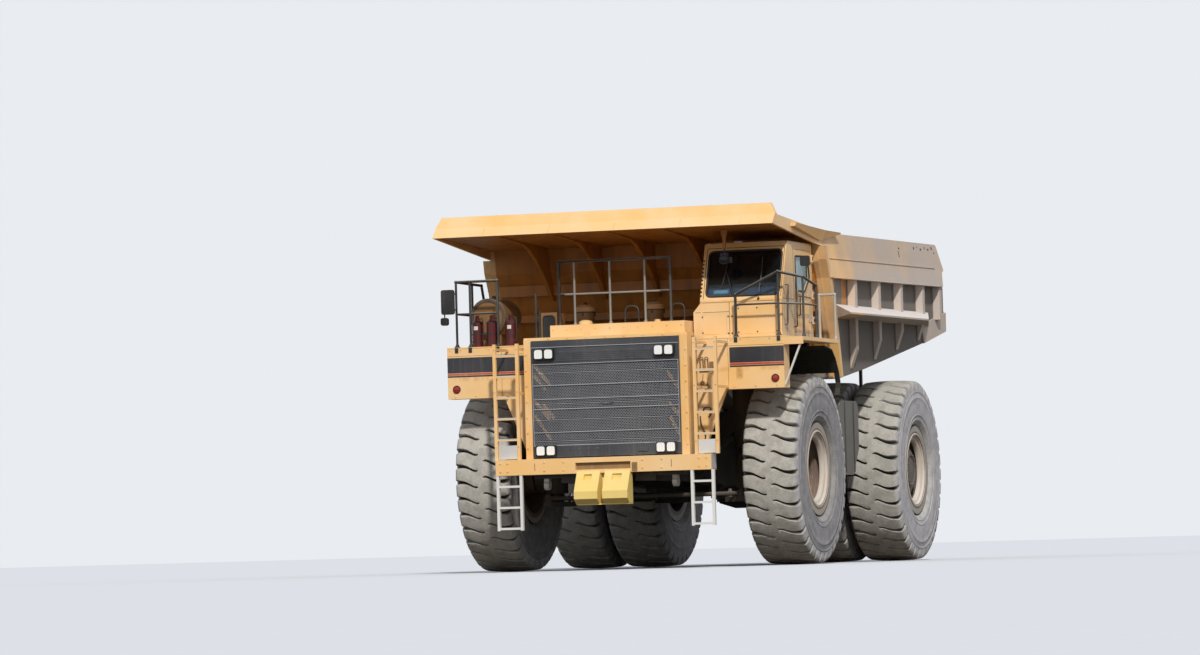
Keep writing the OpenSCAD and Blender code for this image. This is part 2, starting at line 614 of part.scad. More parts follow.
module side_tanks() color("#6E6A64") from_front_axle() both_sides() {
    difference() {
        side_profile([[2130, 1450], [2130, 2600], [2230, 2680], [3180, 2680], [3280, 2580], [3280, 1900], [2900, 1450]], 1250, 2600);
        block([1249, 3000, 1400], [1350, 3300, 2700]);
    }
    // Saddle on the rail
    block([rail_out_x + seat_gap, 2300, 1500], [1251, 2600, 1650]);
    block([rail_out_x + seat_gap, 2300, 2300], [1251, 2600, 2450]);
}

rear_strut_x = 620;
module suspension_struts() color(steel) from_front_axle() {
    both_sides() {
        difference() {
            translate([kingpin_x, 0, 1900]) cylinder(r = strut_r, h = 1150, $fn = 48);
            translate([kingpin_x, 0, 1899]) cylinder(r = strut_rod_r + seat_gap, h = 900, $fn = 48);
        }
    }
    // Rear struts from the frame down to the axle housing
    both_sides() translate([rear_strut_x, wheelbase, saddle_top_z + seat_gap])
        cylinder(r = 130, h = axle_arch_z - saddle_top_z - 2 * seat_gap, $fn = 40);
}

rear_spindle_r = 300;
axle_tube_r = 330;
axle_half = 1120;
saddle_top_z = 1935;
module rear_axle() color(steel) translate([0, front_axle_y + wheelbase, 0]) {
    // Housing with its bulge over the differential
    translate([0, 0, axle_z]) lathe_x([[-axle_half, 0], [-axle_half, axle_tube_r], [-560, axle_tube_r], [-400, 480], [-150, 560],
        [150, 560], [400, 480], [560, axle_tube_r], [axle_half, axle_tube_r], [axle_half, 0]]);
    both_sides() {
        x_cylinder(axle_half - 1, 2900, 0, axle_z, rear_spindle_r);
        block([rear_strut_x - 150, -150, axle_z], [rear_strut_x + 150, 150, saddle_top_z]);
    }
    // Nose that reaches forward to the frame's crossmember
    nose = wheelbase - axle_link_y - axle_link_r - seat_gap;
    translate([0, 0, axle_z]) rotate([90, 0, 0]) cylinder(r = 240, h = nose, $fn = 40);
}

// Dump body

// Underside of the floor, front to rear
floor_line = [[1100, 3010], [1380, 3010], [3030, 3210], [7190, 3790], [tail_reach - 20, 3990]];
// Front face of the front wall, bottom to top
wall_top = [320, 5290];
front_line = [[1100, 3010], [970, 3500], [560, 4630], [380, 4900], wall_top];
// Rear edge of a side wall, bottom to top
bed_tail = [[tail_reach, 4310], [tail_reach - 40, 4350], [tail_reach - 40, 5060], [8080, 5075], [7855, 5490]];
bed_slope = 0.85;
ledge_slope = 0.46;

module bed_floor() color(yellow) from_front_axle() {
    side_profile(concat(floor_line, [for (i = [len(floor_line) - 1 : -1 : 0]) floor_line[i] + [0, bed_floor_t]]),
        -bed_in_x + seat_gap, bed_in_x - seat_gap);
}

rail_zone = [4640, 4950];
rib_y = [2110, 3580, 5000, 6440, 7600];
rib_w = 150;
rib_taper = 80;
rib_x = 2930;
// Underside of the upper ribs on the ledge, and the lower ribs' taper out of the side plate
rib_low_z = 4170;
rib_foot = [60, 420];
function rail_z(y, z) = z + (y - 600) * tan(bed_slope);
function floor_z(y) = y < 3030 ? lookup(y, [[1380, 3010], [3030, 3210]]) : lookup(y, [[3030, 3210], [7190, 3790], [8320, 3990]]);
wing_x = 2945;
// Wedge that spreads the canopy's edge to the top of the side wall
module side_wing(x0, y0, y1) intersection() {
    front_profile([[x0, 5150], [canopy_x - 1, 5150], [wing_x, 5440], [x0, 5440]], y0, y1);
    side_profile([[-1300, 5440], [-1300, 5390], [330, 5225], [1360, 5378], [1360, 5400], [450, 5400]], bed_in_x, wing_x + 1);
}
module bed_walls() color(yellow) from_front_axle() both_sides() {
    in_x = bed_in_x + 20;
    // Side plate
    side_profile(concat(floor_line, bed_tail, [[1980, 5400], [canopy_rear_y + seat_gap, 5400], [canopy_rear_y + seat_gap, wall_top.y]],
        [for (i = [len(front_line) - 1 : -1 : 1]) front_line[i]]), bed_in_x, bed_in_x + bed_side_t);
    side_wing(bed_in_x + bed_side_t - 1, canopy_rear_y + seat_gap, 1360);
    // Post along the front edge
    side_profile([[1115, 3030], [850, 3930], [575, 4635], [400, 4930], [355, 5140], [canopy_rear_y + 20, 5140], [530, 4930],
        [720, 4635], [1000, 3930], [1240, 3040]], in_x, wing_x - 5);
    // Inclined panel over the rail
    intersection() {
        translate([0, 600, rail_zone[1]]) rotate([bed_slope, 0, 0])
            front_profile([[in_x, -30], [2890, -30], [2815, 440], [in_x, 440]], -300, 7600);
        side_profile([[560, 4900], [460, 5190], [canopy_rear_y + 10, 5390], [1750, 5390], [7840, 5470], [8070, 5075], [8070, 4900]],
            bed_in_x, 2900);
    }
    // Box rail with a slanted rear end
    intersection() {
        translate([0, 600, rail_zone[0]]) rotate([bed_slope, 0, 0])
            front_profile([[in_x, 0], [2960, 0], [2890, 310], [in_x, 310]], 0, 7640);
        side_profile([[590, 4600], [590, 5200], [8040, 5200], [7660, 4600]], bed_in_x, 2980);
    }
    // Ribs above the ledge, wider at their root
    for (y = rib_y) translate([0, 0, rib_low_z]) linear_extrude(rail_z(y, 4660) - rib_low_z)
        polygon([[in_x, y - rib_taper], [rib_x, y], [rib_x, y + rib_w], [in_x, y + rib_w + rib_taper]]);
    // Ribs below the ledge, which run out into the side plate
    for (y = [for (v = rib_y) if (v < 7000) v])
        front_profile([[in_x, floor_z(y) + rib_foot[0]], [bed_in_x + bed_side_t + 1, floor_z(y) + rib_foot[0]],
            [rib_x, floor_z(y) + rib_foot[1]], [rib_x, 4100], [in_x, 4100]], y, y + rib_w);
    // Sloping ledge with tapered ends
    intersection() {
        translate([0, 1340, 0]) rotate([ledge_slope, 0, 0])
            front_profile([[in_x, 3985], [in_x, 4265], [ledge_x, 4078], [ledge_x, 4050]], -700, 6300);
        translate([0, 0, 3900]) linear_extrude(500) polygon([[bed_in_x, 1380], [ledge_x, 820], [ledge_x, 5800], [bed_in_x, 7560]]);
    }
    // Thick sides of the tail
    side_profile([[6690, 4055], [tail_reach, 4320], [tail_reach - 5, 3988], [6820, floor_z(6820) - 1]], in_x, bed_in_x + bed_side_t + 35);
}

// Ribs of the front wall: front face, underside, height
front_ribs = [[620, 4100, 120], [480, 4530, 180]];
function front_wall_y(z) = lookup(z, [for (p = front_line) [p[1], p[0]]]);
module bed_front() color(yellow) from_front_axle() {
    last = len(front_line) - 1;
    side_profile(concat([front_line[0] + [20, bed_floor_t + seat_gap]], [for (i = [1 : last]) front_line[i]],
        [for (i = [last : -1 : 2]) front_line[i] + [bed_front_t, 0]], [front_line[1] + [bed_front_t + 20, 30],
        front_line[0] + [20 + bed_front_t, bed_floor_t + seat_gap]]), -bed_in_x + seat_gap, bed_in_x - seat_gap);
    // Horizontal ribs on the front face, parted at the gussets
    for (p = front_ribs) difference() {
        side_profile([[p[0], p[1]], [front_wall_y(p[1]) + 30, p[1]], [front_wall_y(p[1] + p[2]) + 30, p[1] + p[2]], [p[0], p[1] + p[2]]],
            -bed_in_x + 20, bed_in_x - 20);
        for (x = gusset_x) block([x - 5, p[0] - 1, gusset_low_z - 5], [x + gusset_t + 5, front_wall_y(p[1]) + 5, 5000]);
    }
}

gusset_x = [-1840, -920, 0, 920];
gusset_t = 60;
gusset_low_z = 4450;
canopy_rear_y = 450;
lip_taper = 90;
module canopy() color(yellow) from_front_axle() {
    low = wall_top.y + seat_gap;
    // Deck of the canopy with its folded front lip, narrower at the top
    intersection() {
        side_profile([[-2330, 5390], [-2170, 5550], [-2100, 5730], [-2010, 5730], [-2060, 5510], [canopy_rear_y, 5400],
            [canopy_rear_y, low], [wall_top.x, low], [-2190, 5400]], -canopy_x, canopy_x);
        front_profile([[-canopy_x - 1, 5200], [canopy_x + 1, 5200], [canopy_x + 1, 5555], [canopy_x - lip_taper, 5735],
            [-canopy_x + lip_taper, 5735], [-canopy_x - 1, 5555]], -2400, 500);
    }
    // Edges along both sides
    both_sides() {
        side_profile([[-2330, 5390], [-2170, 5550], [canopy_rear_y, 5400], [canopy_rear_y, 5150], [80, 5180]],
            bed_in_x + bed_side_t + 1, canopy_x);
        side_wing(bed_in_x + bed_side_t + 1, -1300, canopy_rear_y);
    }
    // Gussets between the canopy and the front wall
    for (x = gusset_x)
        side_profile([[-1900, 5387 - seat_gap], [wall_top.x - seat_gap, wall_top.y], [380 - seat_gap, 4900],
            [560 - seat_gap, 4630], [625 - seat_gap, gusset_low_z], [500, gusset_low_z], [310, 4660], [40, 4870], [-280, 5070],
            [-640, 5240], [-900, 5310], [-1900, 5370]], x, x + gusset_t);
}

stringer_x = [rail_in_x, rail_out_x];
// Ears beside the rail that turn on the hinge shaft: columns: inner x, outer x
ears = [[rail_in_x - 150, rail_in_x - 20], [rail_out_x + 20, rail_out_x + 110]];
ear_r = 210;
bracket_gap = 60;
module bed_stringers() color(yellow) from_front_axle() both_sides() difference() {
    union() {
        side_profile([[2450, rail_rest_z(2450) + rest_pad_h + seat_gap], [1700, 2900], [1700, floor_z(1700) - seat_gap],
            [3030, 3210 - seat_gap], [7000, floor_z(7000) - seat_gap], [6500, 2800], [5900, rail_rest_z(5900) + rest_pad_h + seat_gap]],
            stringer_x[0], stringer_x[1]);
        for (e = ears) {
            side_profile([[5950, 2850], [6700, 2850], [hinge_y + ear_r, hinge_z], [hinge_y - ear_r, hinge_z]], e[0], e[1]);
            x_cylinder(e[0], e[1], hinge_y, hinge_z, ear_r);
        }
        for (x = [rail_in_x - 150, rail_out_x - 1]) block([x, 6000, 2840], [x + 151, 6700, 3200]);
        // Bracket of the hoist rod, two plates outside the stringer
        for (x = [hoist_x - bracket_gap - 50, hoist_x + bracket_gap])
            side_profile([[hoist_y - 160, 3180], [hoist_y + 160, 3180], [hoist_y + 80, hoist_top_z - 90],
                [hoist_y - 80, hoist_top_z - 90]], x, x + 50);
        block([rail_out_x - 1, hoist_y - 160, 3060], [hoist_x + bracket_gap + 50, hoist_y + 160, 3181]);
    }
    x_cylinder(rail_in_x - 160, rail_out_x + 200, hinge_y, hinge_z, hinge_r + 0.05);
}

// Knuckles, steering and wheels, drawn for the left side

knuckle_low_z = 1260;
module knuckle() {
    translate([kingpin_x, 0, 0]) {
        translate([0, 0, knuckle_low_z]) cylinder(r = 200, h = 560, $fn = 48);
        translate([0, 0, knuckle_low_z + 559]) cylinder(r = strut_rod_r, h = 900, $fn = 48);
        translate([0, 0, arm_top_z - 80]) cylinder(r = 115, h = 250, $fn = 40);
        // Arm plate to the tie rod and to the cylinder
        translate([0, 0, arm_top_z - 80]) linear_extrude(80)
            polygon([[-60, -tie_arm - 70], [60, -tie_arm - 70], [115, 0], [0, 115], kingpin_arm + [-80, 70], kingpin_arm + [-80, -70]]);
    }
    x_cylinder(kingpin_x, front_tyre_x + 90, 0, axle_z, spindle_r);
    x_cylinder(kingpin_x + 100, kingpin_x + 280, 0, axle_z, 260);
}
module knuckle_left() color(steel) from_front_axle() knuckle();
module knuckle_right() color(steel) from_front_axle() mirror([1, 0, 0]) knuckle();

eye_t = 100;
eye_z = arm_top_z + seat_gap;
tie_rod_r = 35;
steer_eye_r = 66;
module tie_rod() color(steel) from_front_axle() both_sides() {
    translate([kingpin_x, -tie_arm, eye_z]) cylinder(r = 80, h = eye_t, $fn = 32);
    translate([kingpin_x, -tie_arm, eye_z + eye_t - 1]) cylinder(r = 45, h = 40, $fn = 24);
    x_cylinder(-1, kingpin_x - 60, -tie_arm, eye_z + eye_t / 2, tie_rod_r, 32);
}

steer_from = [steer_pin_x, steer_pin_y];
steer_to = [kingpin_x, 0] + kingpin_arm;
steer_len = norm(steer_to - steer_from);
steer_dir = atan2(steer_to.y - steer_from.y, steer_to.x - steer_from.x);
steer_barrel_len = 1330;
// Steering cylinder laid along +X from its frame pin
module along_steering() translate([steer_from.x, steer_from.y, eye_z + eye_t / 2]) rotate([0, 0, steer_dir]) children();
module steering_barrel() along_steering() difference() {
    union() {
        translate([0, 0, -eye_t / 2]) cylinder(r = 85, h = eye_t, $fn = 32);
        x_cylinder(60, steer_barrel_len, 0, 0, 75, 40);
    }
    translate([0, 0, -eye_t]) cylinder(r = 35 + 0.05, h = 2 * eye_t, $fn = 32);
    x_cylinder(220, steer_barrel_len + 1, 0, 0, 45 + seat_gap, 40);
}
module steering_rod() along_steering() {
    x_cylinder(480, steer_len - 60, 0, 0, 45, 40);
    translate([steer_len, 0, -eye_t / 2]) cylinder(r = steer_eye_r, h = eye_t, $fn = 32);
    translate([steer_len, 0, eye_t / 2 - 1]) cylinder(r = 40, h = 35, $fn = 24);
}
module steering_barrel_left() color(steel) from_front_axle() steering_barrel();
module steering_rod_left() color(white) from_front_axle() steering_rod();
module steering_barrel_right() color(steel) from_front_axle() mirror([1, 0, 0]) steering_barrel();
module steering_rod_right() color(white) from_front_axle() mirror([1, 0, 0]) steering_rod();

// Section of a tyre: distance along the axle, radius
tyre_half = [
    [-0.38, 0, bead_r], [-0.385, 0, 770], [-0.46, 0, 900], [-0.5, 0, 1080], [-0.49, 0, 1260], [-0.465, 1, 1430],
    [-0.445, 1, 1500], [-0.25, 1, 1522]
];
tyre_section = concat(
    [for (p = tyre_half) [p[0] * tyre_w, p[1] * (tyre_r - 1530) + p[2]]], [[0, tyre_r]],
    [for (i = [len(tyre_half) - 1 : -1 : 0]) [-tyre_half[i][0] * tyre_w, tyre_half[i][1] * (tyre_r - 1530) + tyre_half[i][2]]]);

// Solid of revolution about the X axis, from an outline of [x, radius]
module lathe_x(outline, fn = 72)
    rotate([0, 90, 0]) rotate_extrude($fn = fn) polygon([for (p = outline) [p[1], p[0]]]);

module tyre() difference() {
    lathe_x(tyre_section);
    // Grooves cut in from both shoulders, staggered by half a pitch
    for (side = [-1, 1], i = [0 : tread_blocks - 1])
        rotate([(i + (side > 0 ? 0.5 : 0)) * 360 / tread_blocks, 0, 0])
            translate([side * tyre_w * 0.3, 0, tyre_r - tread_depth]) rotate([0, 0, side * 14])
                translate([-tyre_w * 0.25, -groove_w / 2, 0]) cube([tyre_w * 0.5, groove_w, tread_depth + 60]);
}

rim_half_w = tyre_w * 0.38;
// Rim with its flanges, drawn about the tyre's middle plane
module rim_ring() lathe_x([
    [-rim_half_w - 40, bead_r - 60], [-rim_half_w - 40, flange_r], [-rim_half_w - seat_gap - 4, flange_r],
    [-rim_half_w - seat_gap - 4, bead_r - seat_gap], [rim_half_w + seat_gap + 4, bead_r - seat_gap],
    [rim_half_w + seat_gap + 4, flange_r], [rim_half_w + 40, flange_r], [rim_half_w + 40, bead_r - 60]]);

module front_rim() translate([front_tyre_x, 0, axle_z]) {
    rim_ring();
    // Dished disc, hub and cap
    lathe_x([[-120, 300], [-60, 300], [0, 420], [180, bead_r - 59], [120, bead_r - 59], [-60, 440]]);
    lathe_x([[-440, spindle_r + seat_gap], [-440, 230], [-120, 301], [-60, 301], [110, 250], [150, 200], [150, 0],
        [91 + seat_gap, 0], [91 + seat_gap, spindle_r + seat_gap]]);
}

rear_hub_in = 1160;
rear_hub_out = 2960;
module rear_rims() translate([0, wheelbase, axle_z]) {
    for (x = [rear_inner_x, rear_outer_x]) translate([x, 0, 0]) {
        rim_ring();
        lathe_x([[-80, 430], [80, 430], [80, bead_r - 59], [-80, bead_r - 59]]);
    }
    // Final drive hub with its domed cover
    lathe_x([[rear_hub_in, rear_spindle_r + seat_gap], [rear_hub_in, 431], [rear_hub_out - 60, 431], [rear_hub_out, 330],
        [rear_hub_out + 20, 0], [2901, 0], [2901, rear_spindle_r + seat_gap]]);
}

module front_tyre_left() color(rubber) from_front_axle() translate([front_tyre_x, 0, axle_z]) tyre();
module front_tyre_right() color(rubber) from_front_axle() translate([-front_tyre_x, 0, axle_z]) mirror([1, 0, 0]) tyre();
module front_rim_left() color(rim_brown) from_front_axle() front_rim();
module front_rim_right() color(rim_brown) from_front_axle() mirror([1, 0, 0]) front_rim();
module rear_tyres() for (x = [rear_inner_x, rear_outer_x]) translate([x, wheelbase, axle_z]) tyre();
module rear_tyres_left() color(rubber) from_front_axle() rear_tyres();
module rear_tyres_right() color(rubber) from_front_axle() mirror([1, 0, 0]) rear_tyres();
module rear_rims_left() color(rim_brown) from_front_axle() rear_rims();
module rear_rims_right() color(rim_brown) from_front_axle() mirror([1, 0, 0]) rear_rims();

// Hoist cylinders, drawn upright over the lower pin

hoist_len = hoist_top_z - hoist_low_z;
sleeve_r = hoist_r - 25;
hoist_rod_r = sleeve_r - 25;
module at_hoist() translate([hoist_x, hoist_y, hoist_low_z]) children();
module hoist_barrel() at_hoist() difference() {
    union() {
        x_cylinder(-90, 90, 0, 0, 120);
        translate([0, 0, 60]) cylinder(r = hoist_r, h = 1300, $fn = 48);
    }
    x_cylinder(-200, 200, 0, 0, 60.05);
    translate([0, 0, 180]) cylinder(r = sleeve_r + seat_gap, h = 1200, $fn = 48);
}
module hoist_sleeve() at_hoist() difference() {
    translate([0, 0, 200]) cylinder(r = sleeve_r, h = 1220, $fn = 48);
    translate([0, 0, 230]) cylinder(r = hoist_rod_r + seat_gap, h = 1200, $fn = 48);
}
hoist_neck = 200;
module hoist_rod() at_hoist() {
    translate([0, 0, 240]) cylinder(r = hoist_rod_r, h = hoist_len - 240 - hoist_neck, $fn = 48);
    translate([0, 0, hoist_len - hoist_neck - 1]) cylinder(r = bracket_gap - 10, h = hoist_neck - 40, $fn = 40);
    x_cylinder(-bracket_gap + 3, bracket_gap - 3, 0, hoist_len, 105);
}
module hoist_barrel_left() color(steel) from_front_axle() hoist_barrel();
module hoist_barrel_right() color(steel) from_front_axle() mirror([1, 0, 0]) hoist_barrel();
module hoist_sleeve_left() color(white) from_front_axle() hoist_sleeve();
module hoist_sleeve_right() color(white) from_front_axle() mirror([1, 0, 0]) hoist_sleeve();
module hoist_rod_left() color(white) from_front_axle() hoist_rod();
module hoist_rod_right() color(white) from_front_axle() mirror([1, 0, 0]) hoist_rod();

main_frame();
front_bumper();
tow_eyes();
wheel_chocks();
grille();
hood();
engine();
headlamps();
right_deck();
left_deck();
fenders();
cab_shell();
cab_glass();
cab_interior();
cab_door();
door_glass();
ladders();
handrails();
mirrors();
extinguishers();
deck_equipment();
side_tanks();
suspension_struts();
rear_axle();
bed_floor();
bed_walls();
bed_front();
canopy();
bed_stringers();
knuckle_left();
knuckle_right();
tie_rod();
steering_barrel_left();
steering_rod_left();
steering_barrel_right();
steering_rod_right();
front_tyre_left();
front_rim_left();
front_tyre_right();
front_rim_right();
rear_tyres_left();
rear_rims_left();
rear_tyres_right();
rear_rims_right();
hoist_barrel_left();
hoist_sleeve_left();
hoist_rod_left();
hoist_barrel_right();
hoist_sleeve_right();
hoist_rod_right();
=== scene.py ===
"""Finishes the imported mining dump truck: its paint, tyres, trim and glass, on a plain studio stage."""

import math

import bmesh
import bpy
from mathutils import Matrix, Vector


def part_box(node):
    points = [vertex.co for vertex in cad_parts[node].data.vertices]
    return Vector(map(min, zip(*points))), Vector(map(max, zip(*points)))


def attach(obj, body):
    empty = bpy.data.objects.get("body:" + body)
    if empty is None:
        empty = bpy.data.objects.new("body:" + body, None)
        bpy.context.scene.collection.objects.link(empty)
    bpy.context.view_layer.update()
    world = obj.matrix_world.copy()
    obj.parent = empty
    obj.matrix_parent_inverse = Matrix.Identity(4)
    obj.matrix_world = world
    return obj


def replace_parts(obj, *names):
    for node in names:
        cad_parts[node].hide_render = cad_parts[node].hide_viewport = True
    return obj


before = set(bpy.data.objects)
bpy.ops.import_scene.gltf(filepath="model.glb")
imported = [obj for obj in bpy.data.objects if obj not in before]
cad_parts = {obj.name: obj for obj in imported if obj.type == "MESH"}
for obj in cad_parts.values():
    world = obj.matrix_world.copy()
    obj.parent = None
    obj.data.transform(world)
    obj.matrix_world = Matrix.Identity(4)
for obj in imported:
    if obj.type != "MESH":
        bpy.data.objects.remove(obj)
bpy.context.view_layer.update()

bl_info = {
    "name": "Mining Dump Truck Finish",
    "version": (1, 0, 0),
    "blender": (4, 5, 0),
    "location": "View3D > Sidebar > Dump Truck",
    "description": "Paint, tyres, trim, glass and a plain studio for the packed dump truck",
    "category": "Object",
}

MM = 0.001
BOXES = {name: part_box(name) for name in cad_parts}
# Station of the front axle and of the rear axle along Y, and height of the hubs
FRONT_AXLE = (BOXES["front_tyre_left"][0].y + BOXES["front_tyre_left"][1].y) / 2
REAR_AXLE = (BOXES["rear_tyres_left"][0].y + BOXES["rear_tyres_left"][1].y) / 2
HUB_HEIGHT = 1.53
SIDE_NAMES = {1: "left", -1: "right"}
AHEAD, BACK, UP, DOWN, LEFT = (0, -1, 0), (0, 1, 0), (0, 0, 1), (0, 0, -1), (1, 0, 0)


def low(node):
    """Lowest corner of a CAD node."""
    return BOXES[node][0]


def high(node):
    """Highest corner of a CAD node."""
    return BOXES[node][1]


def at(x, y, z):
    """Point with y counted backwards from the front axle."""
    return Vector((x, FRONT_AXLE + y, z))


def places(*points):
    """Points with y counted backwards from the front axle."""
    return [at(*p) for p in points]


# Shapes

def turns(count, start=0.0):
    """Cosine and sine of even steps round a circle, the first one that many steps on."""
    angles = [2 * math.pi * (k + start) / count for k in range(count)]
    return [(math.cos(t), math.sin(t)) for t in angles]


def add_block(shape, corner, opposite):
    """Box between two corners."""
    a, b = Vector(corner), Vector(opposite)
    lo, hi = Vector(map(min, a, b)), Vector(map(max, a, b))
    size = Matrix.Diagonal((*(hi - lo), 1.0))
    bmesh.ops.create_cube(shape, size=1.0, matrix=Matrix.Translation((lo + hi) / 2) @ size)


def add_blocks(shape, *pairs):
    """Boxes, each between two corners with y counted backwards from the front axle."""
    for corner, opposite in pairs:
        add_block(shape, at(*corner), at(*opposite))


def add_plate(shape, face, start, end, proud, sunk=0.0):
    """Plate on a face that looks ahead, between two corners (x, z)."""
    add_block(shape, (start[0], face - proud, start[1]), (end[0], face + sunk, end[1]))


def add_prism(shape, outline, depth):
    """Closed outline of 3-D points, drawn out by the vector depth."""
    base = [shape.verts.new(p) for p in outline]
    lid = [shape.verts.new(Vector(p) + Vector(depth)) for p in outline]
    shape.faces.new(base[::-1])
    shape.faces.new(lid)
    for i, a in enumerate(base):
        j = (i + 1) % len(base)
        shape.faces.new((a, base[j], lid[j], lid[i]))


def frame_along(direction):
    """Two unit vectors across a direction."""
    d = Vector(direction).normalized()
    side = d.cross(Vector(UP) if abs(d.z) < 0.9 else Vector(LEFT)).normalized()
    return side, side.cross(d).normalized()


def skin_rings(shape, rings):
    """Faces between rings of vertices that follow each other, and one over each end."""
    for a, b in zip(rings, rings[1:]):
        for k in range(len(a)):
            n = (k + 1) % len(a)
            shape.faces.new((a[k], a[n], b[n], b[k]))
    shape.faces.new(rings[0][::-1])
    shape.faces.new(rings[-1])


def add_lathe(shape, outline, centre, axis, sides=32):
    """Solid of revolution: outline of (station along the axis, radius), closed at both ends."""
    centre, axis = Vector(centre), Vector(axis).normalized()
    across, over = frame_along(axis)
    skin_rings(shape, [[shape.verts.new(centre + axis * station + (across * c + over * s) * radius)
                        for c, s in turns(sides)] for station, radius in outline])


def add_ring(shape, outline, centre, axis, sides=48):
    """Ring of revolution: closed outline of (station, radius) that keeps clear of the axis."""
    centre, axis = Vector(centre), Vector(axis).normalized()
    across, over = frame_along(axis)
    rings = [[shape.verts.new(centre + axis * station + (across * c + over * s) * radius)
              for station, radius in outline] for c, s in turns(sides)]
    for ring, after in zip(rings, rings[1:] + rings[:1]):
        for i in range(len(outline)):
            n = (i + 1) % len(outline)
            shape.faces.new((ring[i], ring[n], after[n], after[i]))


def add_band(shape, start, end, inner, outer, centre, axis, sides):
    """Flat band round a cylinder, between two stations along its axis."""
    add_ring(shape, [(start, inner), (start, outer), (end, outer), (end, inner)], centre, axis, sides)


def add_tube(shape, points, radius, sides=8):
    """Round bar along a list of points, mitred at its bends."""
    points = [Vector(p) for p in points]
    rings = []
    across = None
    for i, p in enumerate(points):
        into = (p - points[i - 1]).normalized() if i else None
        out = (points[i + 1] - p).normalized() if i < len(points) - 1 else None
        along = ((into or out) + (out or into)).normalized()
        if across is None:
            across = frame_along(along)[0]
        across = (across - along * across.dot(along)).normalized()
        over = along.cross(across)
        stretch = 1.0 / max(0.5, along.dot(into or out))
        rings.append([shape.verts.new(p + (across * c + over * s) * radius * stretch)
                      for c, s in turns(sides)])
    skin_rings(shape, rings)


def rounded(points, radius, steps=4):
    """Polyline with its corners turned into arcs of about that radius."""
    points = [Vector(p) for p in points]
    made = [points[0]]
    for before, corner, after in zip(points, points[1:], points[2:]):
        reach = min(radius, (corner - before).length * 0.45, (after - corner).length * 0.45)
        start = corner + (before - corner).normalized() * reach
        end = corner + (after - corner).normalized() * reach
        for k in range(steps + 1):
            t = k / steps
            made.append(start * (1 - t) ** 2 + corner * 2 * t * (1 - t) + end * t ** 2)
    made.append(points[-1])
    return made


def add_pipe(shape, points, bend, radius, sides=8, steps=4):
    """Round bar along a list of points, with bends of about that radius."""
    add_tube(shape, rounded(points, bend, steps), radius, sides)


def add_bolt(shape, foot, normal, size):
    """Hexagon head on a washer, seated on a face."""
    add_lathe(shape, [(0, size * 0.75), (size * 0.12, size * 0.75)], foot, normal, 12)
    add_lathe(shape, [(size * 0.12, size * 0.5), (size * 0.5, size * 0.5), (size * 0.58, size * 0.4)], foot,
              normal, 6)


def add_bolts(shape, face, feet, size):
    """Bolts on a face that looks ahead, at feet given as (x, z)."""
    for x, z in feet:
        add_bolt(shape, (x, face, z), AHEAD, size)


def add_strip(shape, start, end, width, normal, proud):
    """Flat bar along a line on a face, seated on it and that proud of it."""
    start, end, normal = Vector(start), Vector(end), Vector(normal).normalized()
    across = (end - start).cross(normal).normalized() * (width / 2)
    add_prism(shape, [start - across, end - across, end + across, start + across], normal * proud)


def add_seam(shape, face, start, end, width, proud):
    """Strip on a face that looks ahead, between two points (x, z)."""
    add_strip(shape, (start[0], face, start[1]), (end[0], face, end[1]), width, AHEAD, proud)


def add_patch(shape, centre, radius, start, end, bottom, top, thick):
    """Curved plate on an upright cylinder, between two turns in degrees from +X and two heights."""
    steps = 6
    angles = [math.radians(start + (end - start) * k / steps) for k in range(steps + 1)]
    outline = [Vector((centre[0] + math.cos(a) * r, centre[1] + math.sin(a) * r, bottom))
               for r, run in ((radius, angles), (radius + thick, angles[::-1])) for a in run]
    add_prism(shape, outline, (0, 0, top - bottom))


def mesh_of(name, shape):
    """Mesh of that name, made from a shape that is then let go."""
    mesh = bpy.data.meshes.new(name)
    shape.to_mesh(mesh)
    shape.free()
    return mesh


def put_in_scene(name, data):
    """Object of that name, linked to the scene."""
    made = bpy.data.objects.new(name, data)
    bpy.context.scene.collection.objects.link(made)
    return made


def make_piece(name, shape, material, body="chassis", bevel=0.0, smooth=35):
    """Turn a shape into a piece that rides on a body, with its edges broken by bevel metres."""
    if bevel:
        sharp = [e for e in shape.edges if len(e.link_faces) == 2 and e.calc_face_angle(0) > math.radians(30)]
        bmesh.ops.bevel(shape, geom=sharp, offset=bevel, segments=2, affect="EDGES", clamp_overlap=True)
    bmesh.ops.recalc_face_normals(shape, faces=shape.faces)
    mesh = mesh_of(name, shape)
    mesh.polygons.foreach_set("use_smooth", [True] * len(mesh.polygons))
    mesh.set_sharp_from_angle(angle=math.radians(smooth))
    piece = put_in_scene(name, mesh)
    piece.data.materials.append(finish(material))
    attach(piece, body)
    return piece


# Materials

def linear(code):
    """sRGB hex code as linear RGBA."""
    channels = [int(code[i:i + 2], 16) / 255 for i in (1, 3, 5)]
    return tuple(c / 12.92 if c <= 0.04045 else ((c + 0.055) / 1.055) ** 2.4 for c in channels) + (1.0,)


def per_mm(size):
    """Scale of a pattern whose features are that many millimetres wide."""
    return 1000.0 / size


def add_node(tree, kind, inputs=None, **settings):
    """Add one shader node with its settings, and set or link its inputs by name or place."""
    made = tree.nodes.new("ShaderNode" + kind)
    for key, value in settings.items():
        setattr(made, key, value)
    for key, value in (inputs or {}).items():
        if isinstance(value, bpy.types.NodeSocket):
            tree.links.new(value, made.inputs[key])
        else:
            made.inputs[key].default_value = value
    return made


def where(tree):
    """Place on the truck, its three coordinates, and the distance from the middle plane."""
    place = add_node(tree, "TexCoord").outputs["Object"]
    x, y, z = add_node(tree, "SeparateXYZ", {0: place}).outputs
    return place, x, y, z, add_node(tree, "Math", {0: x}, operation="ABSOLUTE").outputs[0]


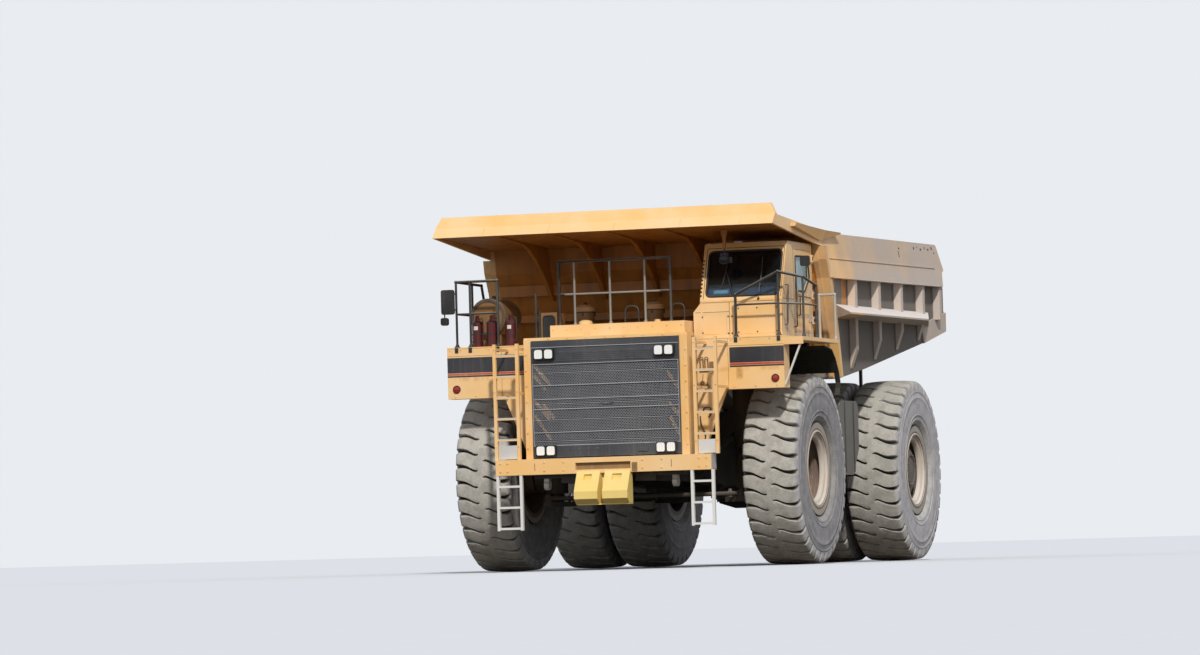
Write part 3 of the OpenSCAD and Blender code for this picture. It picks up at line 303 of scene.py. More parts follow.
def cloud(tree, place, size_mm, start, full, detail=4.0):
    """Soft patches about size_mm wide, 0 where the noise is under start and 1 over full."""
    noise = add_node(tree, "TexNoise", {"Vector": place, "Scale": per_mm(size_mm), "Detail": detail})
    return add_node(tree, "MapRange", {"Value": noise.outputs[0], "From Min": start, "From Max": full},
                    interpolation_type="SMOOTHSTEP").outputs[0]


def run_down(tree, place, width_mm, start, full, stretch=0.05):
    """Streaks that run down a wall, width_mm wide."""
    squeezed = add_node(tree, "Mapping", {"Vector": place, "Scale": (1.0, 1.0, stretch)})
    return cloud(tree, squeezed.outputs[0], width_mm, start, full, 3.0)


def facing_up(tree, normal, start, full):
    """1 on faces that look up, where dust settles."""
    parts = add_node(tree, "SeparateXYZ", {0: normal})
    return add_node(tree, "MapRange", {"Value": parts.outputs[2], "From Min": start, "From Max": full},
                    interpolation_type="SMOOTHSTEP").outputs[0]


def between(tree, value, lower, upper, soft=0.02):
    """1 where a value lies between two limits, with a soft change at both."""
    rise = add_node(tree, "MapRange", {"Value": value, "From Min": lower - soft, "From Max": lower + soft})
    fall = add_node(tree, "MapRange", {"Value": value, "From Min": upper + soft, "From Max": upper - soft})
    return times(tree, rise.outputs[0], fall.outputs[0])


def times(tree, *factors):
    """Product of several values."""
    total = factors[0]
    for factor in factors[1:]:
        total = add_node(tree, "Math", {0: total, 1: factor}, operation="MULTIPLY").outputs[0]
    return total


def layered(tree, *amounts):
    """Sum of several amounts of dust, never over 1."""
    total = amounts[0]
    for amount in amounts[1:]:
        total = add_node(tree, "Math", {0: total, 1: amount}, operation="ADD", use_clamp=True).outputs[0]
    return total


def stronger(tree, a, b):
    """The larger of two amounts at each place."""
    return add_node(tree, "Math", {0: a, 1: b}, operation="MAXIMUM").outputs[0]


def tint(tree, amount, colour, code, blend="MIX"):
    """Mix a colour into another one, given as a socket or a hex code, by an amount."""
    under = linear(colour) if isinstance(colour, str) else colour
    return add_node(tree, "Mix", {0: amount, 6: under, 7: linear(code)}, data_type="RGBA",
                    blend_type=blend).outputs[2]


def worn_edge(tree, radius_mm):
    """1 along convex and concave edges, from the normal that a rounded edge would have."""
    rounded_normal = add_node(tree, "Bevel", {"Radius": radius_mm * MM}, samples=4)
    true_normal = add_node(tree, "NewGeometry")
    match = add_node(tree, "VectorMath", {0: rounded_normal.outputs[0], 1: true_normal.outputs["Normal"]},
                     operation="DOT_PRODUCT")
    return add_node(tree, "MapRange", {"Value": match.outputs["Value"], "From Min": 0.995,
                                       "From Max": 0.9}).outputs[0]


def start_material(name, **uniform):
    """Empty material with one shader, whose uniform values sit on its own sockets."""
    material = bpy.data.materials.new(name)
    material.use_nodes = True
    tree = material.node_tree
    tree.nodes.clear()
    shader = add_node(tree, "BsdfPrincipled", uniform)
    add_node(tree, "OutputMaterial", {"Surface": shader.outputs[0]})
    return material, tree, shader


def cover(tree, shader, colour):
    """Give the shader a colour that was worked out."""
    tree.links.new(colour, shader.inputs["Base Color"])


def weather(tree, shader, paint, faded, dust, top=0.5, over=0.3, drips=0.2, wear=0.3, bare="#6B5F55",
            gloss=0.42, patch_mm=700, extra=None, waves=0.004):
    """Paint that fades in patches, gathers dust on top and in streaks, and wears at its edges."""
    coords = add_node(tree, "TexCoord")
    place, normal = coords.outputs["Object"], coords.outputs["Normal"]
    grit = cloud(tree, place, 38, 0.35, 0.7, 6.0)
    layers = [times(tree, facing_up(tree, normal, 0.3, 0.95), top),
              times(tree, cloud(tree, place, 1500, 0.35, 0.65), over),
              times(tree, run_down(tree, place, 60, 0.52, 0.75), drips)]
    if extra is not None:
        layers.append(extra(tree, place, normal))
    broken = add_node(tree, "MapRange", {"Value": grit, "To Min": 0.75, "To Max": 1.0}).outputs[0]
    total = times(tree, layered(tree, *layers), broken)
    colour = tint(tree, cloud(tree, place, patch_mm, 0.3, 0.75), paint, faded)
    chipped = times(tree, worn_edge(tree, 14), wear, cloud(tree, place, 120, 0.42, 0.6))
    colour = tint(tree, total, tint(tree, chipped, colour, bare), dust)
    cover(tree, shader, colour)
    rough = add_node(tree, "MapRange", {"Value": total, "To Min": gloss, "To Max": 0.95})
    tree.links.new(rough.outputs[0], shader.inputs["Roughness"])
    rolls = add_node(tree, "TexNoise", {"Vector": place, "Scale": per_mm(450), "Detail": 2.0})
    sheet = add_node(tree, "Bump", {"Height": rolls.outputs[0], "Distance": waves, "Strength": 0.6})
    grain = add_node(tree, "Bump", {"Height": grit, "Distance": 0.0015, "Strength": 0.35,
                                    "Normal": sheet.outputs[0]})
    tree.links.new(grain.outputs[0], shader.inputs["Normal"])
    return colour


def weathered(name, paint, faded, dust, uniform=None, **wear):
    """Material of one weathered coat."""
    material, tree, shader = start_material(name, **(uniform or {}))
    weather(tree, shader, paint, faded, dust, **wear)
    return material


def colours():
    """Colours that the panel sets."""
    return bpy.context.scene.truck_paint


def truck_yellow(name, **wear):
    """Faded yellow enamel of the truck: its material, tree, shader and colour, for marks to be laid over."""
    material, tree, shader = start_material(name, IOR=1.5)
    coat = {"paint": colours().yellow, "faded": colours().yellow_faded, "dust": colours().dust_warm,
            "over": 0.14, "drips": 0.1, "wear": 0.35}
    return material, tree, shader, weather(tree, shader, **{**coat, **wear})


def yellow_enamel():
    """Alkyd enamel sprayed on steel plate, faded by the sun: a warm pale yellow under a film of dust."""
    return truck_yellow("yellow_alkyd_enamel_sprayed")[0]


def cab_enamel():
    """The same enamel on the cab, its door side grey with dried mud that ran down in the rain."""
    def mud_on_side(tree, place, normal):
        x, y, z = add_node(tree, "SeparateXYZ", {0: place}).outputs
        low_part = add_node(tree, "MapRange", {"Value": z, "From Min": 5.0, "From Max": 4.1}).outputs[0]
        return times(tree, between(tree, x, 2.735, 2.9, 0.004),
                     between(tree, y, FRONT_AXLE - 1.5, FRONT_AXLE + 1.0, 0.25),
                     low_part, stronger(tree, run_down(tree, place, 95, 0.36, 0.6, 0.12), 0.55))

    return truck_yellow("yellow_alkyd_enamel_muddied", dust="#ADA69D", over=0.08, drips=0.08,
                        extra=mud_on_side)[0]


def deck_enamel():
    """The same enamel on the decks, with a brown patch under the left band and a painted shadow, in streaks,
    just under the bands' edges.
    """
    material, tree, shader, colour = truck_yellow("yellow_alkyd_enamel_brown_patch_and_painted_shadow")
    place, x, y, z, across = where(tree)
    # Brown patch under the left band, at x 2.04 to 2.14
    run = times(tree, between(tree, x, 2.04, 2.14), between(tree, z, 2.98, 3.16, 0.03),
                cloud(tree, place, 60, 0.3, 0.5), 0.6)
    # Painted shadow under the lower edge of the bands, broken into streaks
    line = times(tree, between(tree, z, 3.10, 3.16), run_down(tree, place, 90, 0.4, 0.7, 0.3), 0.3)
    cover(tree, shader, tint(tree, stronger(tree, run, line), colour, "#A8742E"))
    return material


def dump_body_enamel():
    """The same enamel on the dump body, grey with rock dust behind its front post, scoured bare inside."""
    inside = low("bed_walls").x * -1 - 0.47

    def dust_towards_tail(tree, place, normal):
        x, y, z = add_node(tree, "SeparateXYZ", {0: place}).outputs
        ragged = add_node(tree, "TexNoise", {"Vector": place, "Scale": per_mm(700), "Detail": 5.0})
        shifted = add_node(tree, "Math", {0: ragged.outputs[0], 1: 1.6, 2: y}, operation="MULTIPLY_ADD")
        back = add_node(tree, "MapRange", {"Value": shifted.outputs[0], "From Min": FRONT_AXLE + 1.7,
                                           "From Max": FRONT_AXLE + 3.4},
                                           interpolation_type="SMOOTHSTEP").outputs[0]
        share = add_node(tree, "MapRange", {"Value": z, "From Min": 4.75, "From Max": 5.0,
                                            "To Min": 0.93, "To Max": 0.74}).outputs[0]
        across = add_node(tree, "Math", {0: x}, operation="ABSOLUTE").outputs[0]
        within = add_node(tree, "Math", {0: across, 1: inside}, operation="LESS_THAN").outputs[0]
        behind = add_node(tree, "Math", {0: y, 1: FRONT_AXLE + 0.5}, operation="GREATER_THAN").outputs[0]
        facing = add_node(tree, "SeparateXYZ", {0: normal}).outputs[0]
        inward = add_node(tree, "Math", {0: times(tree, facing, x), 1: -0.6},
                          operation="LESS_THAN").outputs[0]
        return stronger(tree, times(tree, back, share), times(tree, stronger(tree, within, inward), behind))

    material, tree, shader, colour = truck_yellow(
        "yellow_alkyd_enamel_rock_dusted", faded="#D9AA72", dust=colours().dust_grey, top=1.0, over=0.2,
        drips=0.2, extra=dust_towards_tail, wear=0.5)
    # Painted shade on the plates between the ribs, and a patch of fresh orange primer in the first bay
    place, x, y, z, across = where(tree)
    skin = between(tree, across, 2.79, 2.82, 0.004)
    plate = times(tree, skin, between(tree, y, FRONT_AXLE + 1.3, 20.0), between(tree, z, 3.0, 4.75, 0.03),
                  0.95)
    colour = tint(tree, plate, colour, "#6E6862")
    primer = times(tree, skin, between(tree, y, FRONT_AXLE + 1.72, FRONT_AXLE + 2.0, 0.03),
                   between(tree, z, 4.2, 4.75), cloud(tree, place, 240, 0.3, 0.5), 0.85)
    colour = tint(tree, primer, colour, "#D08A3E")
    # Powder lies thick and pale on the ledge of the box rail
    up = facing_up(tree, add_node(tree, "TexCoord").outputs["Normal"], 0.5, 0.9)
    cover(tree, shader, tint(tree, times(tree, up, between(tree, across, 2.83, 3.3), 0.85), colour,
                             "#E6DEDA"))
    return material


def canopy_enamel():
    """The enamel of the canopy: pale on its lip, with painted shade multiplied in on the underside and front
    wall, and soot streaks run down there.
    """
    material, tree, shader, colour = truck_yellow("yellow_alkyd_enamel_painted_shade_and_soot", over=0.12, drips=0.15,
                                                  wear=0.4)
    place, x, y, z, across = where(tree)
    # Painted shade: the enamel under the canopy and on its front wall is multiplied by a brown, with soot
    # streaks run down over it
    painted_canopy_shade = times(tree, between(tree, z, 2.0, 5.405, 0.006),
                      between(tree, y, FRONT_AXLE - 2.2, FRONT_AXLE + 1.2, 0.06),
                      between(tree, across, -1.0, 2.8, 0.01))
    shade_and_soot = tint(tree, painted_canopy_shade, colour, colours().painted_shade, "MULTIPLY")
    soot = times(tree, painted_canopy_shade, run_down(tree, place, 260, 0.45, 0.7, 0.2), 0.5)
    shade_and_soot = tint(tree, soot, shade_and_soot, "#7A5020")
    # The side that the load slides on is scoured to steel
    looks_back = add_node(tree, "SeparateXYZ", {0: add_node(tree, "TexCoord").outputs["Normal"]}).outputs[1]
    inside = times(tree, add_node(tree, "MapRange", {"Value": looks_back, "From Min": 0.2,
                                                     "From Max": 0.5}).outputs[0],
                   between(tree, across, -1.0, 2.62), between(tree, z, 2.0, 5.35, 0.03),
                   between(tree, y, FRONT_AXLE + 0.45, FRONT_AXLE + 3.0), 0.9)
    cover(tree, shader, tint(tree, inside, shade_and_soot, "#8C8278"))
    return material


def scoured_plate():
    """Wear plate scoured by rock: grey steel with rust bloom and dust in it."""
    return weathered("wear_plate_scoured", "#8A7F74", "#9C8C7A", "#A89F94", {"Metallic": 0.35}, over=0.5,
                     drips=0.1, wear=0.2, bare="#B8B2AA", gloss=0.5)


def frame_enamel():
    """Black on the welded frame, matt with dust that clings to grease; the black is partly painted shade
    under the truck.
    """
    return weathered("black_enamel_frame_painted_shade", "#1E1E20", "#2C2A28", "#6A635A", top=0.7, over=0.35, drips=0.3)


def cast_steel_enamel():
    """Cast steel under grey-brown grime."""
    return weathered("cast_steel_grimed", "#3A3733", "#4A443C", "#7D7467", {"Metallic": 0.2}, top=0.7,
                     over=0.5, drips=0.3, gloss=0.6)


def grille_enamel():
    """Slate enamel on the radiator frame and its screens."""
    return weathered("slate_enamel_dusted", "#32353C", "#3B3E45", "#74716E", top=0.75, over=0.25, wear=0.4,
                     bare="#8C8C8C")


def screen_bar():
    """Grey-blue galvanised strip that clamps the screens and edges the bumper, dulled by weather."""
    return weathered("galvanised_strip_weathered", "#A9ABAF", "#BABABB", "#B8B4AC", {"Metallic": 0.2},
                     top=0.4, over=0.25, wear=0.2, bare="#6A6A6C")


def rusted_brace_lightened():
    """Bare steel brace behind the screens, orange-brown with rust, its colour lightened as painted light
    against the shade there.
    """
    return weathered("mild_steel_rusted_lightened", "#E2B884", "#C79866", "#C8B498", drips=0.3, wear=0.1, gloss=0.7)


def white_enamel():
    """White enamel, blank: labels, small lamps and the walkway's brace."""
    return weathered("white_enamel_sprayed", "#E8E4DA", "#D8D4CA", "#B8B0A4", top=0.4, over=0.2, wear=0.2,
                     bare="#9A958C")


def mesh_wire():
    """Expanded steel mesh, painted slate, its strands rubbed pale."""
    return weathered("expanded_steel_mesh_painted", "#787B83", "#8C8E93", "#9C9A97", {"Metallic": 0.3},
                     over=0.35, drips=0.25, wear=0.1, patch_mm=300)


def galvanised_steel():
    """Hot-dip galvanised steel of the tow eyes, foot plates and tank fittings, whitened by dust."""
    return weathered("galvanised_steel_dull", "#DDDBD7", "#CBC8C3", "#DAD5CC", {"Metallic": 0.25}, wear=0.2,
                     bare="#7A756D")


def ladder_enamel():
    """Yellow enamel on the upper ladders, and bare galvanising on those that hang under the bumper."""
    material, tree, shader = start_material("yellow_enamel_over_galvanising")
    colour = weather(tree, shader, colours().yellow, colours().yellow_faded, colours().dust_warm, top=0.7,
                     over=0.25, drips=0.15, wear=0.5, bare="#D8D2C6")
    height = where(tree)[3]
    hanging = add_node(tree, "Math", {0: height, 1: low("ladders").z + 1.0}, operation="LESS_THAN").outputs[0]
    cover(tree, shader, tint(tree, hanging, colour, "#DDDBD7"))
    return material


def handrail_enamel():
    """Dark enamel on steel pipe, rubbed to pale metal where hands and dust reach."""
    material, tree, shader = start_material("dark_enamel_pipe", Metallic=0.3)
    colour = weather(tree, shader, "#262628", "#34322F", "#B5AEA2", top=0.8, over=0.16, drips=0.1, wear=0.35,
                     patch_mm=250)
    # The hoop behind the cab stands bare of paint; the rails over the middle of the hood are mixed half way
    # to the same pale colour as a painted highlight
    place, x, y, z, across = where(tree)
    hood = times(tree, between(tree, x, -0.9, 0.7), between(tree, z, 3.9, 4.95, 0.01))
    hoop = times(tree, between(tree, x, 2.0, 4.0), between(tree, y, FRONT_AXLE - 0.2, FRONT_AXLE + 1.0, 0.01))
    bare = add_node(tree, "Math", {0: times(tree, hood, 0.55), 1: hoop}, operation="ADD").outputs[0]
    cover(tree, shader, tint(tree, bare, colour, "#B9B4AA"))
    return material


def filmed(name, size_mm, start, full, clean, dusty, **uniform):
    """Smooth surface with a film of dust in soft patches, ready for marks to be laid over."""
    material, tree, shader = start_material(name, **uniform)
    film = cloud(tree, where(tree)[0], size_mm, start, full)
    colour = tint(tree, film, clean, dusty)
    cover(tree, shader, colour)
    return material, tree, shader, film, colour


def chrome_rod():
    """Hard chrome on a ground cylinder rod, dulled by a film of dust."""
    material, tree, shader, film, colour = filmed("hard_chrome_ground", 90, 0.4, 0.7, "#D5D3CF", "#A89E90",
                                                  Metallic=1.0)
    rough = add_node(tree, "MapRange", {"Value": film, "To Min": 0.15, "To Max": 0.45})
    tree.links.new(rough.outputs[0], shader.inputs["Roughness"])
    return material


def tinted_glass():
    """Laminated safety glass with a green-blue tint, almost black over a dark cab."""
    material, tree, shader, film, colour = filmed("laminated_glass_tinted", 400, 0.45, 0.7, "#14181B",
                                                  "#1C2226", Roughness=0.06, IOR=1.5, Alpha=0.72)
    # Painted reflection of the sky in a blue strip along the lower edge, with a paler painted glint in it
    place, x, y, z, across = where(tree)
    painted_sky_reflection = times(tree, between(tree, z, 4.0, 4.43), cloud(tree, place, 150, 0.1, 0.6), 0.8)
    painted_glint = times(tree, between(tree, z, 4.35, 4.405, 0.012), between(tree, x, 1.60, 1.84), 0.8)
    cover(tree, shader, tint(tree, painted_glint, tint(tree, painted_sky_reflection, colour, "#3A5068"), "#6F9DB6"))
    return material


def pale_glass():
    """Laminated side glass, clear and thin, its pale blue a painted sky seen through the cab."""
    return filmed("laminated_glass_painted_sky", 250, 0.4, 0.65, "#7FA6AE", "#9DBFC4", Roughness=0.08, IOR=1.5,
                  Alpha=0.75)[0]


def lamp_glass():
    """Pressed lamp glass with moulded flutes, white in daylight."""
    material, tree, shader = start_material("pressed_lamp_glass_fluted", Roughness=0.18, IOR=1.52)
    flutes = add_node(tree, "TexWave", {"Vector": where(tree)[0], "Scale": per_mm(18) / 6.283},
                      bands_direction="X").outputs[1]
    cover(tree, shader, tint(tree, flutes, "#F6F6F2", "#EDEEEC"))
    bump = add_node(tree, "Bump", {"Height": flutes, "Distance": 0.0001})
    tree.links.new(bump.outputs[0], shader.inputs["Normal"])
    return material


def black_plastic():
    """Black ABS mouldings with a fine grain, greyed by dust."""
    return weathered("black_abs_moulded", "#151517", "#202022", "#6B665F", top=0.6, over=0.25, drips=0.1,
                     wear=0.15, gloss=0.4)


def black_rubber():
    """EPDM rubber seals and mudguards, extruded and matt."""
    return weathered("epdm_rubber_extruded", "#1A1A16", "#24241D", "#5A564A", top=0.7, drips=0.25, wear=0.1,
                     gloss=0.7)


def band_film():
    """Black vinyl film along the fascias, cast and rolled on: satin, with dust on its upper edge."""
    return weathered("black_vinyl_film_cast", "#26262B", "#303038", "#6E6A66", top=0.3, over=0.2, wear=0.0,
                     gloss=0.35, waves=0.001)


def red_film():
    """Red vinyl film of the thin line under the black band, cast and rolled on: satin and sun-bleached."""
    return weathered("red_vinyl_film_cast", "#B03A32", "#C25A50", "#C9A890", top=0.3, over=0.25, wear=0.0,
                     gloss=0.35, waves=0.001)


def red_enamel():
    """Red enamel baked on pressed steel bottles, glossy and dark."""
    return weathered("red_enamel_baked", "#5C1216", "#4A1214", "#6E4038", top=0.3, over=0.12, drips=0.1,
                     wear=0.2, gloss=0.3)


def reflector_plastic():
    """Red acrylic reflector, moulded with prisms behind its face."""
    material, tree, shader = start_material("red_acrylic_moulded", Roughness=0.15, IOR=1.49)
    prisms = add_node(tree, "TexVoronoi", {"Vector": where(tree)[0], "Scale": per_mm(14)})
    cover(tree, shader, tint(tree, prisms.outputs[0], "#B4382C", "#7A1E1A"))
    return material


def yellow_enamel_in_painted_shade():
    """Yellow enamel on the air cleaners and the reservoir, painted brown as shade, with dust over it."""
    material, tree, shader = start_material("yellow_enamel_painted_shade_brown")
    colour = weather(tree, shader, "#9A7648", "#80603A", "#B0946A", top=0.6, over=0.25, drips=0.3, gloss=0.55)
    place, x, y, z, across = where(tree)
    # Paler band over the air cleaners' caps, and a deeper painted shade on the reservoir
    caps = times(tree, between(tree, z, 4.19, 4.6, 0.002), between(tree, x, -1.1, 1.0), 0.8)
    tank = times(tree, between(tree, x, -3.0, -1.1), 0.6)
    cover(tree, shader, tint(tree, tank, tint(tree, caps, colour, "#C8A070"), "#7E5426"))
    return material


def chock_polyurethane():
    """Cast polyurethane wheel chocks, bleached pale yellow."""
    return weathered("polyurethane_cast_bleached", "#EDCB68", "#F0D78A", "#D8C48C", over=0.2, bare="#C8BC88",
                     gloss=0.6)


def tank_enamel():
    """Dark grey on the fuel and hydraulic tanks, partly dust and partly painted shade over their enamel."""
    return weathered("charcoal_enamel_dust_and_painted_shade", "#55544F", "#605E5A", "#85807A", top=0.8, over=0.5, drips=0.4)


def zinc_bolts():
    """Zinc-plated bolt heads, dulled by dust."""
    return weathered("zinc_plate_dull", "#6E6A63", "#59554E", "#8F877A", {"Metallic": 0.6}, drips=0.0,
                     wear=0.2, gloss=0.5)


def rim_enamel():
    """Rim enamel: brown with brake dust in the dish, black at the bead, rubbed pale on the flange."""
    material, tree, shader = start_material("rim_enamel_brake_dusted")
    colour = weather(tree, shader, "#73594A", "#5F4A3E", "#9A8C80", wear=0.6, bare="#B8ADA0", gloss=0.55)
    place, x, y, z, across = where(tree)
    behind = add_node(tree, "Math", {0: y, 1: (FRONT_AXLE + REAR_AXLE) / 2},
                      operation="GREATER_THAN").outputs[0]
    axle = add_node(tree, "MapRange", {"Value": behind, "To Min": FRONT_AXLE, "To Max": REAR_AXLE}).outputs[0]
    along = add_node(tree, "Math", {0: y, 1: axle}, operation="SUBTRACT").outputs[0]
    above = add_node(tree, "Math", {0: z, 1: HUB_HEIGHT}, operation="SUBTRACT").outputs[0]
    flat = add_node(tree, "CombineXYZ", {0: 0.0, 1: along, 2: above}).outputs[0]
    radius = add_node(tree, "VectorMath", {0: flat}, operation="LENGTH").outputs["Value"]
    colour = tint(tree, times(tree, behind, 0.75), colour, "#57524E")
    colour = tint(tree, times(tree, between(tree, radius, 0.655, 0.9, 0.004), 0.6), colour, "#BDB6AC")
    cover(tree, shader, tint(tree, between(tree, radius, 0.745, 0.9, 0.003), colour, "#1C1B1A"))
    return material


def rim_gutter():
    """Gutter and lock ring of a rim: enamel rubbed to cream by flexing and dust."""
    return weathered("rim_enamel_chalked", "#B9AA9A", "#CFC4B6", "#D6CFC6", top=0.6, over=0.35, wear=0.4,
                     bare="#EDE6DC", gloss=0.5)


def tyre_rubber():
    """Cut-resistant tyre rubber: tread powdered pale, sidewall darker with faint rings, grooves dark."""
    material, tree, shader = start_material("tyre_rubber_vulcanised")
    coords = add_node(tree, "TexCoord")
    place = coords.outputs["Object"]
    powdered = add_node(tree, "Attribute", attribute_name="powder")
    fine = cloud(tree, place, 30, 0.3, 0.7, 5.0)
    mottled = add_node(tree, "MapRange", {"Value": cloud(tree, place, 160, 0.35, 0.65, 6.0), "To Min": 0.8,
                                          "To Max": 1.08})
    amount = add_node(tree, "Math", {0: powdered.outputs["Fac"], 1: mottled.outputs[0]}, operation="MULTIPLY",
                      use_clamp=True)
    facing = add_node(tree, "SeparateXYZ", {0: coords.outputs["Normal"]}).outputs[0]
    sideways = add_node(tree, "Math", {0: facing}, operation="ABSOLUTE").outputs[0]
    wall = add_node(tree, "MapRange", {"Value": sideways, "From Min": 0.6, "From Max": 0.9}).outputs[0]
    dust = tint(tree, wall, colours().tread_dust, colours().wall_dust)
    colour = add_node(tree, "Mix", {0: amount.outputs[0], 6: linear(colours().rubber), 7: dust},
                      data_type="RGBA")
    speck = add_node(tree, "MapRange", {"Value": fine, "To Min": 0.9, "To Max": 1.06})
    colour = add_node(tree, "Mix", {0: 1.0, 6: colour.outputs[2], 7: speck.outputs[0]}, data_type="RGBA",
                      blend_type="MULTIPLY")
    cover(tree, shader, colour.outputs[2])
    shader.inputs["Roughness"].default_value = 0.85
    bump = add_node(tree, "Bump", {"Height": fine, "Distance": 0.003, "Strength": 0.5})
    tree.links.new(bump.outputs[0], shader.inputs["Normal"])
    return material


FINISHES = {
    "yellow": yellow_enamel, "cab": cab_enamel, "deck": deck_enamel, "dump_body": dump_body_enamel,
    "canopy": canopy_enamel, "scoured": scoured_plate, "frame": frame_enamel, "cast_steel": cast_steel_enamel,
    "grille": grille_enamel, "mesh": mesh_wire, "galvanised": galvanised_steel, "ladders": ladder_enamel,
    "handrail": handrail_enamel, "chrome": chrome_rod, "dark_glass": tinted_glass, "pale_glass": pale_glass,
    "lamp_glass": lamp_glass, "black_plastic": black_plastic, "rubber": black_rubber, "band": band_film,
    "red_line": red_film, "red_enamel": red_enamel, "reflector": reflector_plastic, "brown": yellow_enamel_in_painted_shade,
    "chock": chock_polyurethane, "tank": tank_enamel, "zinc": zinc_bolts, "rim": rim_enamel,
    "tyre": tyre_rubber, "screen_bar": screen_bar, "rust": rusted_brace_lightened, "white": white_enamel,
    "rim_gutter": rim_gutter,
}
made_finishes = {}


def finish(name):
    """Material of that name, made on its first use."""
    if name not in made_finishes:
        made_finishes[name] = FINISHES[name]()
    return made_finishes[name]


# Finish of each CAD node that stays in view
NODE_FINISH = {
    "main_frame": "frame", "front_bumper": "yellow", "tow_eyes": "galvanised", "wheel_chocks": "chock",
    "grille": "grille", "hood": "yellow", "engine": "cast_steel", "headlamps": "black_plastic",
    "right_deck": "deck", "left_deck": "deck", "fenders": "rubber", "cab_shell": "cab",
    "cab_glass": "dark_glass", "cab_interior": "black_plastic", "cab_door": "cab", "door_glass": "pale_glass",
    "ladders": "ladders", "handrails": "handrail", "mirrors": "black_plastic", "extinguishers": "red_enamel",
    # The deck equipment takes the brown enamel, yellow darkened as painted shade
    "deck_equipment": "brown", "side_tanks": "tank", "suspension_struts": "cast_steel",
    "rear_axle": "cast_steel", "bed_floor": "scoured", "bed_walls": "dump_body", "bed_front": "canopy",
    "canopy": "canopy", "bed_stringers": "dump_body", "tie_rod": "cast_steel",
}
for side in ("left", "right"):
    for part, kind in (("knuckle", "cast_steel"), ("steering_barrel", "frame"), ("steering_rod", "chrome"),
                       ("front_rim", "rim"), ("rear_rims", "rim"), ("hoist_barrel", "frame"),
                       ("hoist_sleeve", "chrome"), ("hoist_rod", "chrome")):
        NODE_FINISH[f"{part}_{side}"] = kind


# Sizes and colours that a user would change

def colour_field(name, description, default):
    """Colour that the panel shows, as an sRGB hex code."""
    return bpy.props.StringProperty(name=name, description=description, default=default)


def length_field(name, description, default, least, most):
    """Length that the panel shows."""
    return bpy.props.FloatProperty(name=name, description=description, default=default, min=least, max=most,
                                   unit="LENGTH", subtype="DISTANCE")


class TruckPaintSettings(bpy.types.PropertyGroup):
    """Colours of the truck, as sRGB hex codes."""
    yellow: colour_field("Yellow", "Sound enamel", "#F2BF76")
    yellow_faded: colour_field("Faded yellow", "Enamel after years of sun", "#F4CD98")
    # Brown multiplied into the canopy's enamel as painted shade
    painted_shade: colour_field("Painted shade", "Brown stain under the canopy, multiplied in", "#BE9A5C")
    dust_warm: colour_field("Warm dust", "Dust on the yellow panels", "#DCC49E")
    dust_grey: colour_field("Rock dust", "Dust on the dump body", "#BCB6B3")
    rubber: colour_field("Rubber", "Bare tyre rubber", "#2A2928")
    wall_dust: colour_field("Sidewall dust", "Rock powder on the sidewalls", "#B9B7BA")
    tread_dust: colour_field("Tread dust", "Rock powder on the tread", "#B7B3AA")


class TruckTyreSettings(bpy.types.PropertyGroup):
    """Sizes of the rock tread."""
    pitches: bpy.props.IntProperty(name="Pitches", description="Lugs on each shoulder", default=36, min=24,
                                   max=48)
    depth: length_field("Groove depth", "Depth of the grooves", 0.07, 0.03, 0.09)
    rings: length_field("Ring height", "Height of the rings on the sidewall", 0.007, 0.0, 0.012)


class TruckTrimSettings(bpy.types.PropertyGroup):
    """Sizes of small fasteners and trim."""
    bolt: length_field("Bolt", "Width across a bolt head", 0.036, 0.02, 0.06)
    mesh_pitch: length_field("Mesh pitch", "Width of a diamond of the radiator screen", 0.045, 0.03, 0.1)
    proud: length_field("Film", "Height of film and plates over their panel", 0.003, 0.001, 0.01)


class TruckStageSettings(bpy.types.PropertyGroup):
    """Studio light and floor."""
    key: bpy.props.FloatProperty(name="Key", description="Strength of the key light", default=2.7, min=0.0,
                                 max=8.0)
    fill: bpy.props.FloatProperty(name="Fill", description="Strength of the light all round", default=0.62,
                                  min=0.0, max=2.0)
    backdrop: colour_field("Backdrop", "Colour behind the truck", "#E9ECF0")


# Tyres

# Half section of a tyre from its middle outwards: distance from it, radius, share of the groove's depth
TREAD_SECTION = (
    (0.0, 1.530, 0.0), (0.028, 1.530, 0.0), (0.040, 1.530, 0.0), (0.052, 1.529, 1.0), (0.09, 1.5285, 1.0),
    (0.14, 1.527, 1.0), (0.20, 1.525, 1.0), (0.26, 1.522, 1.0), (0.32, 1.518, 1.0), (0.37, 1.513, 1.0),
    (0.405, 1.508, 1.0), (0.412, 1.504, 1.0), (0.438, 1.468, 0.9), (0.446, 1.43, 0.7), (0.449, 1.395, 0.4),
    (0.4505, 1.365, 0.0),
)
# Sidewall and bead: distance from the middle, radius, share of the ring height added outwards
SIDEWALL_SECTION = (
    (0.451, 1.345, 0.0), (0.452, 1.338, 0.9), (0.453, 1.318, 0.9), (0.453, 1.311, 0.0), (0.4575, 1.24, 0.0),
    (0.4580, 1.232, 0.7), (0.4585, 1.222, 0.7), (0.4590, 1.214, 0.0), (0.4620, 1.14, 0.0),
    (0.4630, 1.07, 0.0), (0.4600, 1.00, 0.0), (0.4550, 0.95, 0.0), (0.4540, 0.943, 1.0), (0.4520, 0.925, 1.0),
    (0.4500, 0.918, 0.0), (0.4400, 0.87, 0.0), (0.4385, 0.862, 1.0), (0.4330, 0.842, 1.0),
    (0.4310, 0.835, 0.0), (0.4050, 0.795, 0.0), (0.3700, 0.768, 0.0), (0.3560, 0.758, 0.0),
    (0.3520, 0.700, 0.0),
)
